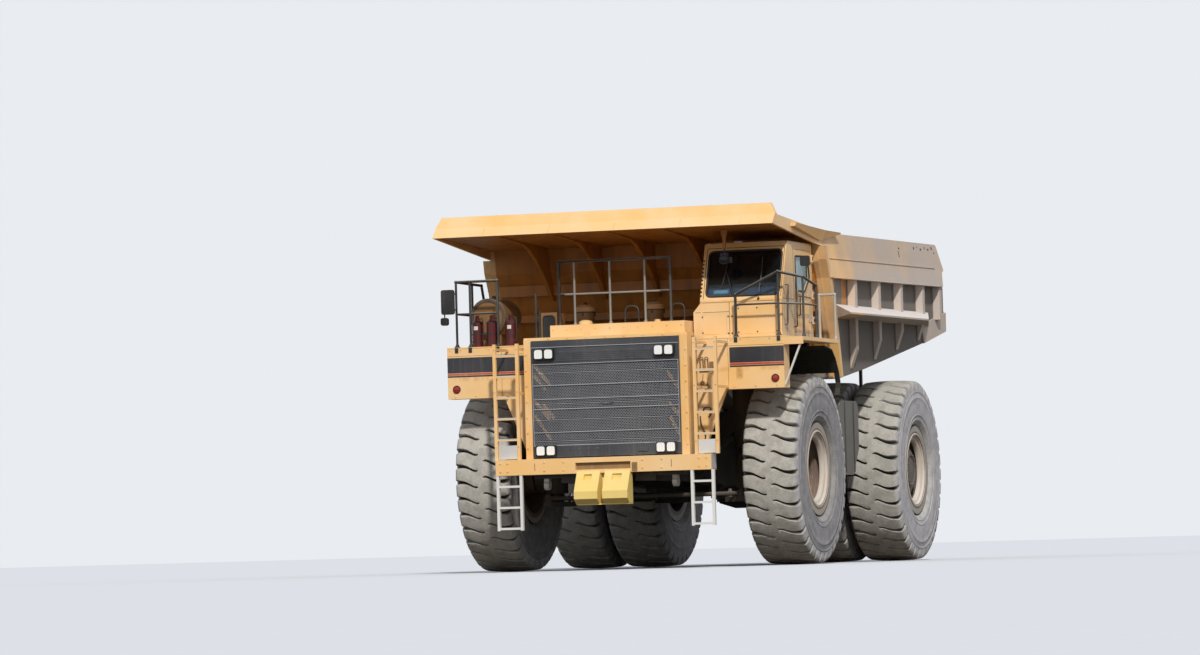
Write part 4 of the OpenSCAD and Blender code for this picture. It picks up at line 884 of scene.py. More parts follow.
# Run of a groove from the middle of the tread to its shoulder: distance, drop round the tyre, half width
GROOVE_RUN = ((0.0, -0.012, 0.008), (0.05, -0.012, 0.008), (0.085, -0.020, 0.016), (0.14, 0.0, 0.019),
              (0.24, 0.050, 0.022), (0.33, 0.068, 0.029), (0.40, 0.070, 0.038), (0.44, 0.062, 0.035),
              (0.47, 0.060, 0.034))
# Half of the distance over a tyre's sidewalls
HALF_TYRE = 0.465


def lookup(table, x, column):
    """Straight-line value of a column of a table at x."""
    for a, b in zip(table, table[1:]):
        if x <= b[0]:
            return a[column] + (b[column] - a[column]) * (x - a[0]) / (b[0] - a[0])
    return table[-1][column]


def groove_columns(distance, pitch):
    """Places round the tyre of one pitch's mesh columns, as (arc, share of the depth, share of powder)."""
    drop, half = lookup(GROOVE_RUN, distance, 1), lookup(GROOVE_RUN, distance, 2)
    lip, foot, plain = 0.008, half * 0.55, 4
    edge = [(drop - half - lip, 0.0, 1.0), (drop - half, 0.12, 0.9), (drop - foot, 1.0, 0.0),
            (drop + foot, 1.0, 0.0), (drop + half, 0.12, 0.9), (drop + half + lip, 0.0, 1.0)]
    start, room = edge[-1][0], pitch + edge[0][0] - edge[-1][0]
    return edge + [(start + room * k / (plain + 1), 0.0, 1.0) for k in range(1, plain + 1)]


def add_tyre(shape, powder, centre, tyres, dust):
    """Tyre about an axle along X, with grooves from both shoulders staggered by half a pitch."""
    radius = TREAD_SECTION[0][1]
    pitch = 2 * math.pi * radius / tyres.pitches
    right = [(x, r, share, groove_columns(x, pitch)) for x, r, share in TREAD_SECTION]
    first = right[0][3][0][0]
    # The columns of the left half start half a pitch later, so they are turned to lie beside the right half's
    left = []
    for x, r, share, own in right:
        mirrored = sorted((pitch * 0.5 - a, d, p) for a, d, p in own)
        laps = [(a + pitch * k, d, p) for k in (-1, 0, 1) for a, d, p in mirrored]
        near = min(range(len(laps)), key=lambda i: abs(laps[i][0] - first))
        left.append((-x, r, share, laps[near:near + len(own)]))
    middle = [((a[0] + b[0]) / 2, 0.0, 1.0) for a, b in zip(left[0][3], right[0][3])]
    sidewall = [(x + tyres.rings * rise, r) for x, r, rise in SIDEWALL_SECTION]
    rows = [(-x, r, 0.0, left[-1][3], dust) for x, r in sidewall[::-1]]
    rows += [(*row, 1.0) for row in left[:0:-1]]
    rows += [(0.0, radius, 0.0, middle, 1.0)]
    rows += [(*row, 1.0) for row in right[1:]]
    rows += [(x, r, 0.0, right[-1][3], dust) for x, r in sidewall]
    grid = []
    for place, (x, r, share, own, powdered) in enumerate(rows):
        before, after = rows[max(place - 1, 0)], rows[min(place + 1, len(rows) - 1)]
        along, out = after[0] - before[0], after[1] - before[1]
        size = math.hypot(along, out)
        ring = []
        for lap in range(tyres.pitches):
            for arc, depth, dusty in own:
                sink = depth * share * tyres.depth
                turn = (arc + lap * pitch) / radius
                across, reach = x + out / size * sink, r - along / size * sink
                offset = Vector((across, -math.cos(turn) * reach, -math.sin(turn) * reach))
                vertex = shape.verts.new(centre + offset)
                vertex[powder] = powdered * (1.0 - (1.0 - dusty) * min(1.0, share * 1.2))
                ring.append(vertex)
        grid.append(ring)
    for a, b in zip(grid, grid[1:] + grid[:1]):
        for k in range(len(a)):
            n = (k + 1) % len(a)
            shape.faces.new((a[k], b[k], b[n], a[n]))


def make_tyres(name, node, body, centres, dust):
    """Tyres of one body as one piece that stands for the plain CAD tyres."""
    shape = bmesh.new()
    powder = shape.verts.layers.float.new("powder")
    for centre in centres:
        add_tyre(shape, powder, centre, bpy.context.scene.truck_tyres, dust)
    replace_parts(make_piece(name, shape, "tyre", body, smooth=38), node)


# Stage

def camera_like_photo():
    """Camera solved from the photograph: close to the ground, looking slightly up, with a long lens."""
    place = (27.470, -88.817, 0.317)
    yaw, pitch, roll = math.radians(18.205), math.radians(2.298), -0.02734
    # Focal length and width of the photograph in pixels, and width of the sensor in millimetres
    focal, photo_width, sensor = 5542.35, 1200, 36.0
    forward = Vector((-math.sin(yaw) * math.cos(pitch), math.cos(yaw) * math.cos(pitch), math.sin(pitch)))
    level = Vector((math.cos(yaw), math.sin(yaw), 0))
    over = level.cross(forward)
    right = level * math.cos(roll) + over * math.sin(roll)
    up = over * math.cos(roll) - level * math.sin(roll)
    lens = bpy.data.cameras.new("photo_camera")
    lens.sensor_width = sensor
    lens.lens = focal / photo_width * sensor
    lens.clip_start, lens.clip_end = 1.0, 2000.0
    camera = put_in_scene("photo_camera", lens)
    camera.matrix_world = Matrix.Translation(place) @ Matrix((right, up, -forward)).transposed().to_4x4()
    bpy.context.scene.camera = camera


def studio_floor():
    """Matt floor that shows the backdrop's colour to the camera and gives back less light than that."""
    shape = bmesh.new()
    bmesh.ops.create_grid(shape, x_segments=2, y_segments=2, size=900.0)
    floor = put_in_scene("studio_floor", mesh_of("studio_floor", shape))
    floor.location.z = low("front_tyre_left").z - 0.002
    material, tree, shader = start_material("matt_floor_paint_rolled", Roughness=0.9)
    shader.inputs["Specular IOR Level"].default_value = 0.0
    pale = tint(tree, cloud(tree, where(tree)[0], 120, 0.3, 0.7), "#DBDDE1", "#D9DBDF")
    seen = add_node(tree, "LightPath").outputs["Is Camera Ray"]
    cover(tree, shader, add_node(tree, "Mix", {0: seen, 6: linear("#6E6860"), 7: pale},
                                 data_type="RGBA").outputs[2])
    floor.data.materials.append(material)


def studio_light(stage):
    """Key light high in front, a soft light all round, and a plain pale background."""
    sun = bpy.data.lights.new("key_light", "SUN")
    sun.energy = stage.key
    sun.angle = math.radians(3.0)
    sun.color = (1.0, 0.965, 0.91)
    towards = Vector((0.33, -0.71, 0.62))
    put_in_scene("key_light", sun).rotation_euler = towards.to_track_quat("Z", "Y").to_euler()
    world = bpy.data.worlds.new("studio")
    world.use_nodes = True
    tree = world.node_tree
    tree.nodes.clear()
    rays = add_node(tree, "LightPath").outputs
    shiny = stronger(tree, rays["Is Glossy Ray"], rays["Is Transmission Ray"])
    seen = stronger(tree, shiny, rays["Is Camera Ray"])
    ambient = add_node(tree, "Background", {"Color": linear("#E8EEF8"), "Strength": stage.fill})
    plain = add_node(tree, "Background", {"Color": linear(stage.backdrop), "Strength": 1.0})
    both = add_node(tree, "MixShader", {0: seen, 1: ambient.outputs[0], 2: plain.outputs[0]})
    add_node(tree, "OutputWorld", {"Surface": both.outputs[0]})
    bpy.context.scene.world = world


# Operators

class TRUCK_OT_stage(bpy.types.Operator):
    """Make the camera, the floor and the light"""
    bl_idname = "truck.stage"
    bl_label = "Stage"

    def execute(self, context):
        context.scene.view_settings.view_transform = "Standard"
        camera_like_photo()
        studio_floor()
        studio_light(context.scene.truck_stage)
        return {"FINISHED"}


class TRUCK_OT_paint(bpy.types.Operator):
    """Give every CAD node its finish"""
    bl_idname = "truck.paint"
    bl_label = "Paint"

    def execute(self, context):
        for node, kind in NODE_FINISH.items():
            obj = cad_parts[node]
            if not obj.material_slots:
                obj.data.materials.append(None)
            for slot in obj.material_slots:
                slot.material = finish(kind)
        return {"FINISHED"}


class TRUCK_OT_tyres(bpy.types.Operator):
    """Make the six tyres with their rock tread"""
    bl_idname = "truck.tyres"
    bl_label = "Tyres"

    def execute(self, context):
        for name in SIDE_NAMES.values():
            front, rear = f"front_tyre_{name}", f"rear_tyres_{name}"
            make_tyres(f"front_tread_{name}", front, f"front_wheel_{name[0]}",
                       [(low(front) + high(front)) / 2], 0.62)
            middle = (low(rear) + high(rear)) / 2
            reach = (high(rear).x - low(rear).x) / 2 - HALF_TYRE
            # The rear sidewalls take full dust, partly as a painted lightening for light thrown up from the
            # ground
            make_tyres(f"rear_treads_{name}", rear, f"rear_wheels_{name[0]}",
                       [middle + Vector((reach * k, 0, 0)) for k in (-1, 1)], 1.0)
        return {"FINISHED"}


# Sections of the lock ring and of the gutter behind it: station along the axle, radius
LOCK_RING = ((0.352, 0.60), (0.352, 0.625), (0.375, 0.637), (0.398, 0.625), (0.402, 0.60))
GUTTER = ((0.385, 0.598), (0.388, 0.586), (0.372, 0.570), (0.352, 0.566), (0.345, 0.530), (0.325, 0.508),
          (0.29, 0.498), (0.27, 0.500), (0.27, 0.588), (0.352, 0.594))
# Of each wheel: distance from the truck's middle and from the front axle, sections of the ring in its dish
# and of the hub cover, and circles of nuts as (count, first step, radius, station, share of the bolt's size)
WHEELS = {
    "front_wheel": (2.425, 0, ((0.12, 0.50), (0.13, 0.515), (0.15, 0.515), (0.16, 0.50)),
                    ((0.15, 0.20), (0.165, 0.195), (0.165, 0.13), (0.15, 0.12)),
                    ((24, 0.0, 0.37, -0.022, 1.0), (12, 0.5, 0.165, 0.163, 0.8))),
    "rear_wheels": (2.670, REAR_AXLE - FRONT_AXLE,
                    ((0.082, 0.455), (0.10, 0.47), (0.125, 0.47), (0.135, 0.43), (0.082, 0.432)),
                    ((0.292, 0.300), (0.315, 0.285), (0.315, 0.24), (0.292, 0.22)),
                    ((30, 0.0, 0.51, 0.08, 1.0), (16, 0.0, 0.262, 0.313, 0.8))),
}


class TRUCK_OT_wheel_trim(bpy.types.Operator):
    """Lock rings, wheel nuts and hub covers"""
    bl_idname = "truck.wheel_trim"
    bl_label = "Wheel Trim"

    def execute(self, context):
        for side, name in SIDE_NAMES.items():
            out = Vector((side, 0, 0))
            for wheel, (x, y, dish, cover_ring, circles) in WHEELS.items():
                end, body = wheel.split("_")[0], f"{wheel}_{name[0]}"
                centre = at(side * x, y, HUB_HEIGHT)
                rings, inner, nuts = bmesh.new(), bmesh.new(), bmesh.new()
                add_ring(rings, LOCK_RING, centre, out, 72)
                add_ring(rings, GUTTER, centre, out, 72)
                make_piece(f"{end}_gutter_{name}", rings, "rim_gutter", body)
                add_ring(inner, dish, centre, out, 72)
                add_ring(inner, cover_ring, centre, out, 48)
                make_piece(f"{end}_lock_ring_{name}", inner, "rim", body)
                for count, first, radius, station, share in circles:
                    for c, s in turns(count, first):
                        add_bolt(nuts, centre + Vector((0, c, s)) * radius + out * station, out,
                                 context.scene.truck_trim.bolt * share)
                make_piece(f"{end}_nuts_{name}", nuts, "zinc", body)
        return {"FINISHED"}


def add_diamond_mesh(shape, left, right, bottom, top, y, pitch):
    """Expanded mesh in an upright plane: strands that slant both ways, trimmed to the opening."""
    strand, back = 0.005, Vector((0, 0.008, 0))
    rows, columns = int((top - bottom) / (pitch * 0.5)), int((right - left) / pitch)
    step_x, step_z = (right - left) / columns, (top - bottom) / rows
    for row in range(rows):
        for column in range(columns):
            x0 = left + column * step_x
            z0, z1 = bottom + row * step_z, bottom + (row + 1) * step_z
            x1, x2 = x0 + step_x / 2, x0 + step_x
            rising, falling = ((x0, z0), (x1, z1)), ((x1, z1), (x2, z0))
            if row % 2:
                rising, falling = ((x1, z0), (x0, z1)), ((x2, z1), (x1, z0))
            for (ax, az), (bx, bz) in (rising, falling):
                side = Vector((az - bz, 0, bx - ax)).normalized() * strand
                a, b = Vector((ax, y, az)), Vector((bx, y, bz))
                outline = (a - side, b - side, b + side, a + side)
                corners = [shape.verts.new(p) for p in outline]
                behind = [shape.verts.new(p + back) for p in outline]
                shape.faces.new(corners)
                for k in (0, 2):
                    shape.faces.new((corners[k], corners[k + 1], behind[k + 1], behind[k]))


class TRUCK_OT_grille(bpy.types.Operator):
    """Radiator screens, fins, bars and braces"""
    bl_idname = "truck.grille"
    bl_label = "Grille"

    def execute(self, context):
        trim = context.scene.truck_trim
        front, half, foot = low("grille").y, high("grille").x - 0.02, low("grille").z
        # Heights over the foot of the grille: seams between the screens, and the first and last edge
        seams, first, last = (0.26, 0.60, 0.855, 1.35), 0.19, 1.49
        edges = [first, *(seam + k for seam in seams for k in (-0.013, 0.013)), last]
        screens, fins = bmesh.new(), bmesh.new()
        for lower, upper in zip(edges[::2], edges[1::2]):
            bottom, top = foot + lower + 0.002, foot + upper - 0.002
            add_diamond_mesh(screens, -half + 0.002, half - 0.002, bottom, top, front + 0.016,
                             trim.mesh_pitch)
            for k in range(61):
                x = -half + 0.01 + (2 * half - 0.02) * k / 60
                add_block(fins, (x - 0.004, front + 0.026, bottom), (x + 0.004, front + 0.034, top))
        make_piece("radiator_screen", screens, "mesh", smooth=10)
        make_piece("radiator_fins", fins, "grille")
        # Bars across: heights, reach past the screens, depth of their near and far face, half of their height
        bars = bmesh.new()
        for heights, past, near, far, tall in (((0.40, 0.77, 0.93, 1.15), 0.0, 0.001, 0.007, 0.006),
                                               ((first, last, 1.76), 0.01, -0.004, 0.0, 0.005),
                                               (seams, 0.0, 0.010, 0.016, 0.004)):
            for height in heights:
                add_block(bars, (-half - past, front + near, foot + height - tall),
                          (half + past, front + far, foot + height + tall))
        for x in (-half, half):
            add_plate(bars, front, (x - 0.005, foot + first), (x + 0.005, foot + last), 0.004)
        make_piece("screen_bars", bars, "screen_bar", bevel=0.001)
        # Braces behind the screens: x and height of both ends
        braces = bmesh.new()
        for x0, z0, x1, z1 in ((-1.20, 3.29, -0.93, 2.96), (-1.21, 3.13, -1.02, 2.90),
                               (-1.21, 2.73, -0.96, 2.43), (-1.21, 2.50, -0.95, 2.10),
                               (-1.06, 2.66, -0.88, 2.43), (1.02, 3.14, 1.20, 2.86), (1.04, 2.64, 1.20, 2.43),
                               (1.06, 2.40, 1.20, 2.12)):
            add_seam(braces, front + 0.033, (x0, z0), (x1, z1), 0.05, 0.005)
        make_piece("screen_braces", braces, "rust")
        plates = bmesh.new()
        add_plate(plates, front, (-0.80, foot + 1.53), (0.80, foot + 1.69), 0.010)
        for height in (1.56, 1.59, 1.62, 1.65):
            add_plate(plates, front - 0.009, (-0.79, foot + height), (0.79, foot + height + 0.008), 0.004)
        add_plate(plates, front, (0.53, foot + 0.06), (0.69, foot + 0.12), 0.02)
        make_piece("grille_plates", plates, "grille", bevel=0.002)
        latch = bmesh.new()
        add_pipe(latch, [(-0.06, front + 0.004, 2.70), (-0.06, front - 0.012, 2.65),
                         (0.12, front - 0.012, 2.66), (0.12, front + 0.004, 2.70)], 0.02, 0.006, 10)
        add_bolts(latch, front, [(-0.62 + 0.155 * k, foot + 0.125) for k in range(5)], trim.bolt * 0.7)
        add_bolts(latch, front, [(side * (half + 0.010), foot + 0.26 + 0.09 * k) for k in range(14)
                                 for side in SIDE_NAMES], 0.012)
        make_piece("grille_latch", latch, "grille")
        posts, bolts, face = bmesh.new(), bmesh.new(), low("hood").y
        for side in SIDE_NAMES:
            x = side * (half + 0.085)
            add_seam(posts, face, (x, foot + 0.05), (x, foot + 1.80), 0.010, 0.003)
            add_bolts(bolts, face, [(side * (half + 0.115), foot + 0.15 + 0.25 * k) for k in range(7)],
                      trim.bolt * 0.7)
        make_piece("post_seams", posts, "yellow")
        make_piece("post_bolts", bolts, "yellow")
        return {"FINISHED"}


def round_of(x0, z0, x1, z1):
    """Corners (x, z) of an upright rectangle, from the middle of its foot and back there."""
    middle = (x0 + x1) / 2
    return [(middle, z0), (x0, z0), (x0, z1), (x1, z1), (x1, z0), (middle, z0)]


class TRUCK_OT_lamps(bpy.types.Operator):
    """Rounded square headlamps in black surrounds"""
    bl_idname = "truck.lamps"
    bl_label = "Headlamps"

    def execute(self, context):
        face = low("headlamps").y
        wide, tall, surround = 0.066, 0.070, 0.004
        lenses, rims = bmesh.new(), bmesh.new()
        for side in SIDE_NAMES:
            for x in (side * 0.920, side * 1.090):
                for z in (1.92, 3.46):
                    outline = round_of(x - wide, z - tall, x + wide, z + tall)
                    add_prism(lenses, rounded([(a, face - 0.008, b) for a, b in outline], 0.04)[:-1],
                              (0, 0.02, 0))
                    outline = round_of(x - wide - surround, z - tall - surround,
                                       x + wide + surround, z + tall + surround)
                    add_pipe(rims, [(a, face + 0.004, b) for a, b in outline], 0.044, 0.008)
        make_piece("lamp_lenses", lenses, "lamp_glass", bevel=0.006)
        make_piece("lamp_rims", rims, "black_plastic")
        return {"FINISHED"}


class TRUCK_OT_fascias(bpy.types.Operator):
    """Black bands with their red line, round reflectors and the pale brace"""
    bl_idname = "truck.fascias"
    bl_label = "Fascias"

    def execute(self, context):
        proud = context.scene.truck_trim.proud
        face, outer = low("left_deck").y, -low("right_deck").x
        for name, x0, x1 in (("right", -outer, -1.39), ("left", 1.93, outer)):
            band, line = bmesh.new(), bmesh.new()
            add_plate(band, face, (x0, 3.228), (x1, 3.475), proud)
            add_plate(band, face, (x0, 3.160), (x1, 3.184), proud)
            make_piece(f"fascia_band_{name}", band, "band", bevel=0.0008)
            add_plate(line, face, (x0, 3.190), (x1, 3.222), proud)
            make_piece(f"fascia_line_{name}", line, "red_line", bevel=0.0008)
        lenses, rims, brace = bmesh.new(), bmesh.new(), bmesh.new()
        for side in SIDE_NAMES:
            centre = (side * (outer - 0.15), face, 2.965)
            add_lathe(lenses, [(0.0, 0.05), (0.012, 0.048), (0.018, 0.03), (0.019, 0.008)], centre, AHEAD, 28)
            add_ring(rims, [(0.0, 0.05), (0.018, 0.052), (0.018, 0.062), (0.0, 0.066)], centre, AHEAD, 32)
        make_piece("reflectors", lenses, "reflector")
        make_piece("reflector_rims", rims, "red_enamel")
        add_tube(brace, places((3.127, -1.775, 3.575), (2.825, -1.775, 2.85)), 0.0185, 12)
        make_piece("walkway_brace", brace, "white")
        clamps, folds, bolts = bmesh.new(), bmesh.new(), bmesh.new()
        for x in (2.04, 2.75, -1.96, -2.43, -2.665):
            add_plate(clamps, face, (x - 0.028, 3.555), (x + 0.028, 3.635), 0.014)
            add_bolts(clamps, face - 0.014, [(x, 3.59)], 0.022)
        make_piece("fascia_clamps", clamps, "black_plastic", bevel=0.003)
        # Folded edges, and the seams between the panels of a fascia
        for side in (-1, 1):
            add_seam(folds, face, *sorted(((side * outer, 3.50), (side * 1.39, 3.50))), 0.004, 0.0015)
            add_seam(folds, face, (side * 1.905, 2.83), (side * 1.905, 3.62), 0.004, 0.0015)
            add_seam(folds, face, (side * 1.41, 3.62), (side * 2.82, 3.62), 0.003, 0.0015)
        make_piece("fascia_seams", folds, "rubber")
        for side in SIDE_NAMES:
            for z, row in ((3.60, (1.96, 2.12, 2.60, 2.78)), (2.85, (2.0, 2.35, 2.7))):
                add_bolts(bolts, face, [(side * x, z) for x in row], 0.02)
        make_piece("fascia_bolts", bolts, "deck")
        return {"FINISHED"}


# Lean of the windscreen from upright, height of its foot, and distance of the cab's side from the middle
SCREEN_LEAN = math.atan2(0.35, 0.90)
SCREEN_FOOT = 4.25
CAB_SIDE = 2.75


def on_screen(x, up, out=0.0):
    """Point on the cab's slanted front, up metres along its slope and out metres ahead of it."""
    lean = SCREEN_LEAN
    return Vector((x, low("cab_shell").y + up * math.sin(lean) - out * math.cos(lean),
                   SCREEN_FOOT + up * math.cos(lean) + out * math.sin(lean)))


def add_grab(shape, foot, top, reach, bend, radius, steps=4):
    """Handle whose two ends stand on a face and whose middle stands off it by reach."""
    foot, top, reach = Vector(foot), Vector(top), Vector(reach)
    add_pipe(shape, [foot, foot + reach, top + reach, top], bend, radius, steps=steps)


class TRUCK_OT_cab(bpy.types.Operator):
    """Window seals, wipers, seams, rails and handles of the cab"""
    bl_idname = "truck.cab"
    bl_label = "Cab"

    def execute(self, context):
        front, top = low("cab_shell").y, high("cab_shell").z
        seal, wipers = bmesh.new(), bmesh.new()
        add_pipe(seal, [on_screen(x, up) for x, up in round_of(1.48, 0.055, 2.69, 0.84)], 0.09, 0.017)
        frame_edge = ((1.44, 0.02), (1.44, 0.895), (2.725, 0.895), (2.725, 0.02))
        add_pipe(seal, [on_screen(x, up, 0.004) for x, up in frame_edge], 0.03, 0.004, 6)
        # Clips down the inner edge of the windscreen frame
        for k in range(10):
            up = 0.06 + 0.068 * k
            add_block(seal, on_screen(1.388, up, 0.012), on_screen(1.408, up + 0.034, -0.004))
        make_piece("windscreen_seal", seal, "rubber")
        for x, lean in ((1.98, -0.20), (2.36, 0.02)):
            add_tube(wipers, [on_screen(x, -0.01, 0.012), on_screen(x + lean * 0.3, 0.12, 0.035),
                              on_screen(x + lean, 0.50, 0.012)], 0.007)
            add_strip(wipers, on_screen(x + lean * 1.25, 0.20, 0.002), on_screen(x + lean * 0.8, 0.72, 0.002),
                      0.014, (0, -math.cos(SCREEN_LEAN), math.sin(SCREEN_LEAN)), 0.012)
            add_lathe(wipers, [(0.0, 0.022), (0.025, 0.018)], on_screen(x, -0.01), (0, -1, 0.4), 16)
        make_piece("wipers", wipers, "black_plastic")
        # Plates on the front, each as two corners and its thickness
        panels, seams, bolts = bmesh.new(), bmesh.new(), bmesh.new()
        for start, end, proud in (((1.395, 4.212), (2.745, 4.240), 0.012),
                                  ((1.99, 3.69), (2.68, 4.13), 0.004), ((1.395, 3.70), (1.82, 4.02), 0.003),
                                  ((1.395, 3.66), (1.425, 4.215), 0.006),
                                  ((2.715, 3.66), (2.745, 4.215), 0.006)):
            add_plate(panels, front, start, end, proud)
        make_piece("cab_panels", panels, "yellow", bevel=0.0015)
        for start, end in (((1.30, 4.055), (1.865, 4.055)), ((1.87, 3.66), (1.87, 4.21)),
                           ((2.745, 3.66), (2.745, 4.21))):
            add_seam(seams, front, start, end, 0.006, 0.002)
        for (y0, z0), (y1, z1) in (((-1.30, 3.68), (-1.30, 4.30)), ((-0.875, 3.68), (-0.875, 5.06)),
                                   ((-1.52, 4.24), (-0.875, 4.24))):
            add_strip(seams, at(CAB_SIDE, y0, z0), at(CAB_SIDE, y1, z1), 0.006, LEFT, 0.002)
        make_piece("cab_seams", seams, "rubber")
        add_bolts(bolts, front - 0.004, ((1.85, 3.98), (1.91, 3.98), (1.85, 3.71), (1.91, 3.71), (1.42, 3.73),
                                         (1.42, 3.98), (2.02, 3.72), (2.65, 3.72), (2.65, 4.10), (2.02, 4.10),
                                         (2.33, 4.10), (2.33, 3.72)), 0.018)
        make_piece("cab_bolts", bolts, "zinc")
        # Roof: gutter, air intake and marker lamp
        roof, lamp = bmesh.new(), bmesh.new()
        add_blocks(roof, ((1.39, -1.205, top), (2.75, -1.185, top + 0.018)),
                   ((1.39, -1.205, top), (1.41, 0.2, top + 0.018)),
                   ((2.73, -1.205, top), (2.75, 0.2, top + 0.018)),
                   ((1.60, -0.75, top), (2.50, -0.15, top + 0.035)))
        make_piece("roof_gutter", roof, "yellow", bevel=0.004)
        add_blocks(lamp, ((1.86, -1.18, top), (1.99, -1.11, top + 0.045)))
        make_piece("roof_lamp", lamp, "white", bevel=0.008)
        # Outside the cab: grab rails on its side, and pipes behind it
        rails = bmesh.new()
        add_grab(rails, at(CAB_SIDE, -1.44, 3.82), at(CAB_SIDE, -1.36, 4.46), (0.05, 0, 0), 0.03, 0.011)
        add_grab(rails, at(CAB_SIDE, -0.93, 3.80), at(CAB_SIDE, -0.93, 4.62), (0.06, 0, 0), 0.03, 0.011)
        for x, radius in ((2.52, 0.02), (2.60, 0.014), (2.66, 0.014), (2.72, 0.018)):
            add_pipe(rails, places((x, 0.235, 3.645), (x, 0.235, 4.98), (x, 0.195, 5.02)), 0.04, radius)
        add_blocks(rails, *(((2.48, 0.20, z), (2.75, 0.255, z + 0.025)) for z in (3.95, 4.40, 4.85)))
        make_piece("cab_rails", rails, "handrail", smooth=50)
        # Door: window seal, sill strip, kick plates and grip
        trim, kick, grip = bmesh.new(), bmesh.new(), bmesh.new()
        window = ((-0.52, 4.385), (-0.774, 4.39), (-0.774, 4.94), (-0.05, 4.96), (0.03, 4.61), (-0.26, 4.38),
                  (-0.52, 4.385))
        add_pipe(trim, [at(CAB_SIDE + 0.001, y, z) for y, z in window], 0.04, 0.013)
        add_strip(trim, at(CAB_SIDE, -0.774, 4.30), at(CAB_SIDE, 0.06, 4.30), 0.012, LEFT, 0.004)
        make_piece("door_seal", trim, "rubber", "door")
        add_blocks(kick, ((CAB_SIDE, -0.80, 3.76), (2.754, 0.05, 3.95)),
                   ((CAB_SIDE, -0.78, 4.02), (2.753, -0.02, 4.24)))
        make_piece("door_panels", kick, "yellow", "door", bevel=0.0012)
        add_grab(grip, at(CAB_SIDE, -0.66, 3.99), at(CAB_SIDE, -0.66, 4.33), (0.04, 0, 0), 0.03, 0.009)
        make_piece("door_grip", grip, "handrail", "door", smooth=50)
        # Lamp on its bracket under the canopy, and mirror glasses that look back
        bracket, lamp, lens, glasses = bmesh.new(), bmesh.new(), bmesh.new(), bmesh.new()
        plate = ((1.775, 5.36), (1.895, 5.36), (1.855, 5.20), (1.855, 5.06), (1.815, 5.06), (1.815, 5.20))
        add_prism(bracket, [at(x, -1.64, z) for x, z in plate], (0, 0.05, 0))
        make_piece("lamp_bracket", bracket, "canopy", "bed", bevel=0.004)
        add_tube(lamp, places((1.835, -1.615, 5.08), (1.835, -1.615, 4.96)), 0.014)
        add_blocks(lamp, ((1.765, -1.635, 4.945), (1.895, -1.595, 4.985)))
        add_lathe(lamp, [(0.0, 0.028), (0.02, 0.070), (0.075, 0.078), (0.085, 0.074)],
                  at(1.83, -1.585, 4.885), AHEAD, 28)
        add_blocks(lamp, ((1.90, -1.63, 4.83), (1.96, -1.58, 4.92)))
        make_piece("canopy_lamp", lamp, "black_plastic", "bed", bevel=0.002)
        add_lathe(lens, [(0.0, 0.066), (0.008, 0.05), (0.011, 0.02)], at(1.83, -1.671, 4.885), AHEAD, 28)
        make_piece("canopy_lamp_lens", lens, "dark_glass", "bed")
        add_blocks(glasses, ((-2.885, -1.832, 4.195), (-2.685, -1.8305, 4.561)),
                   ((3.035, -1.382, 4.752), (3.165, -1.3805, 4.888)))
        make_piece("mirror_glasses", glasses, "chrome", bevel=0.0005)
        return {"FINISHED"}


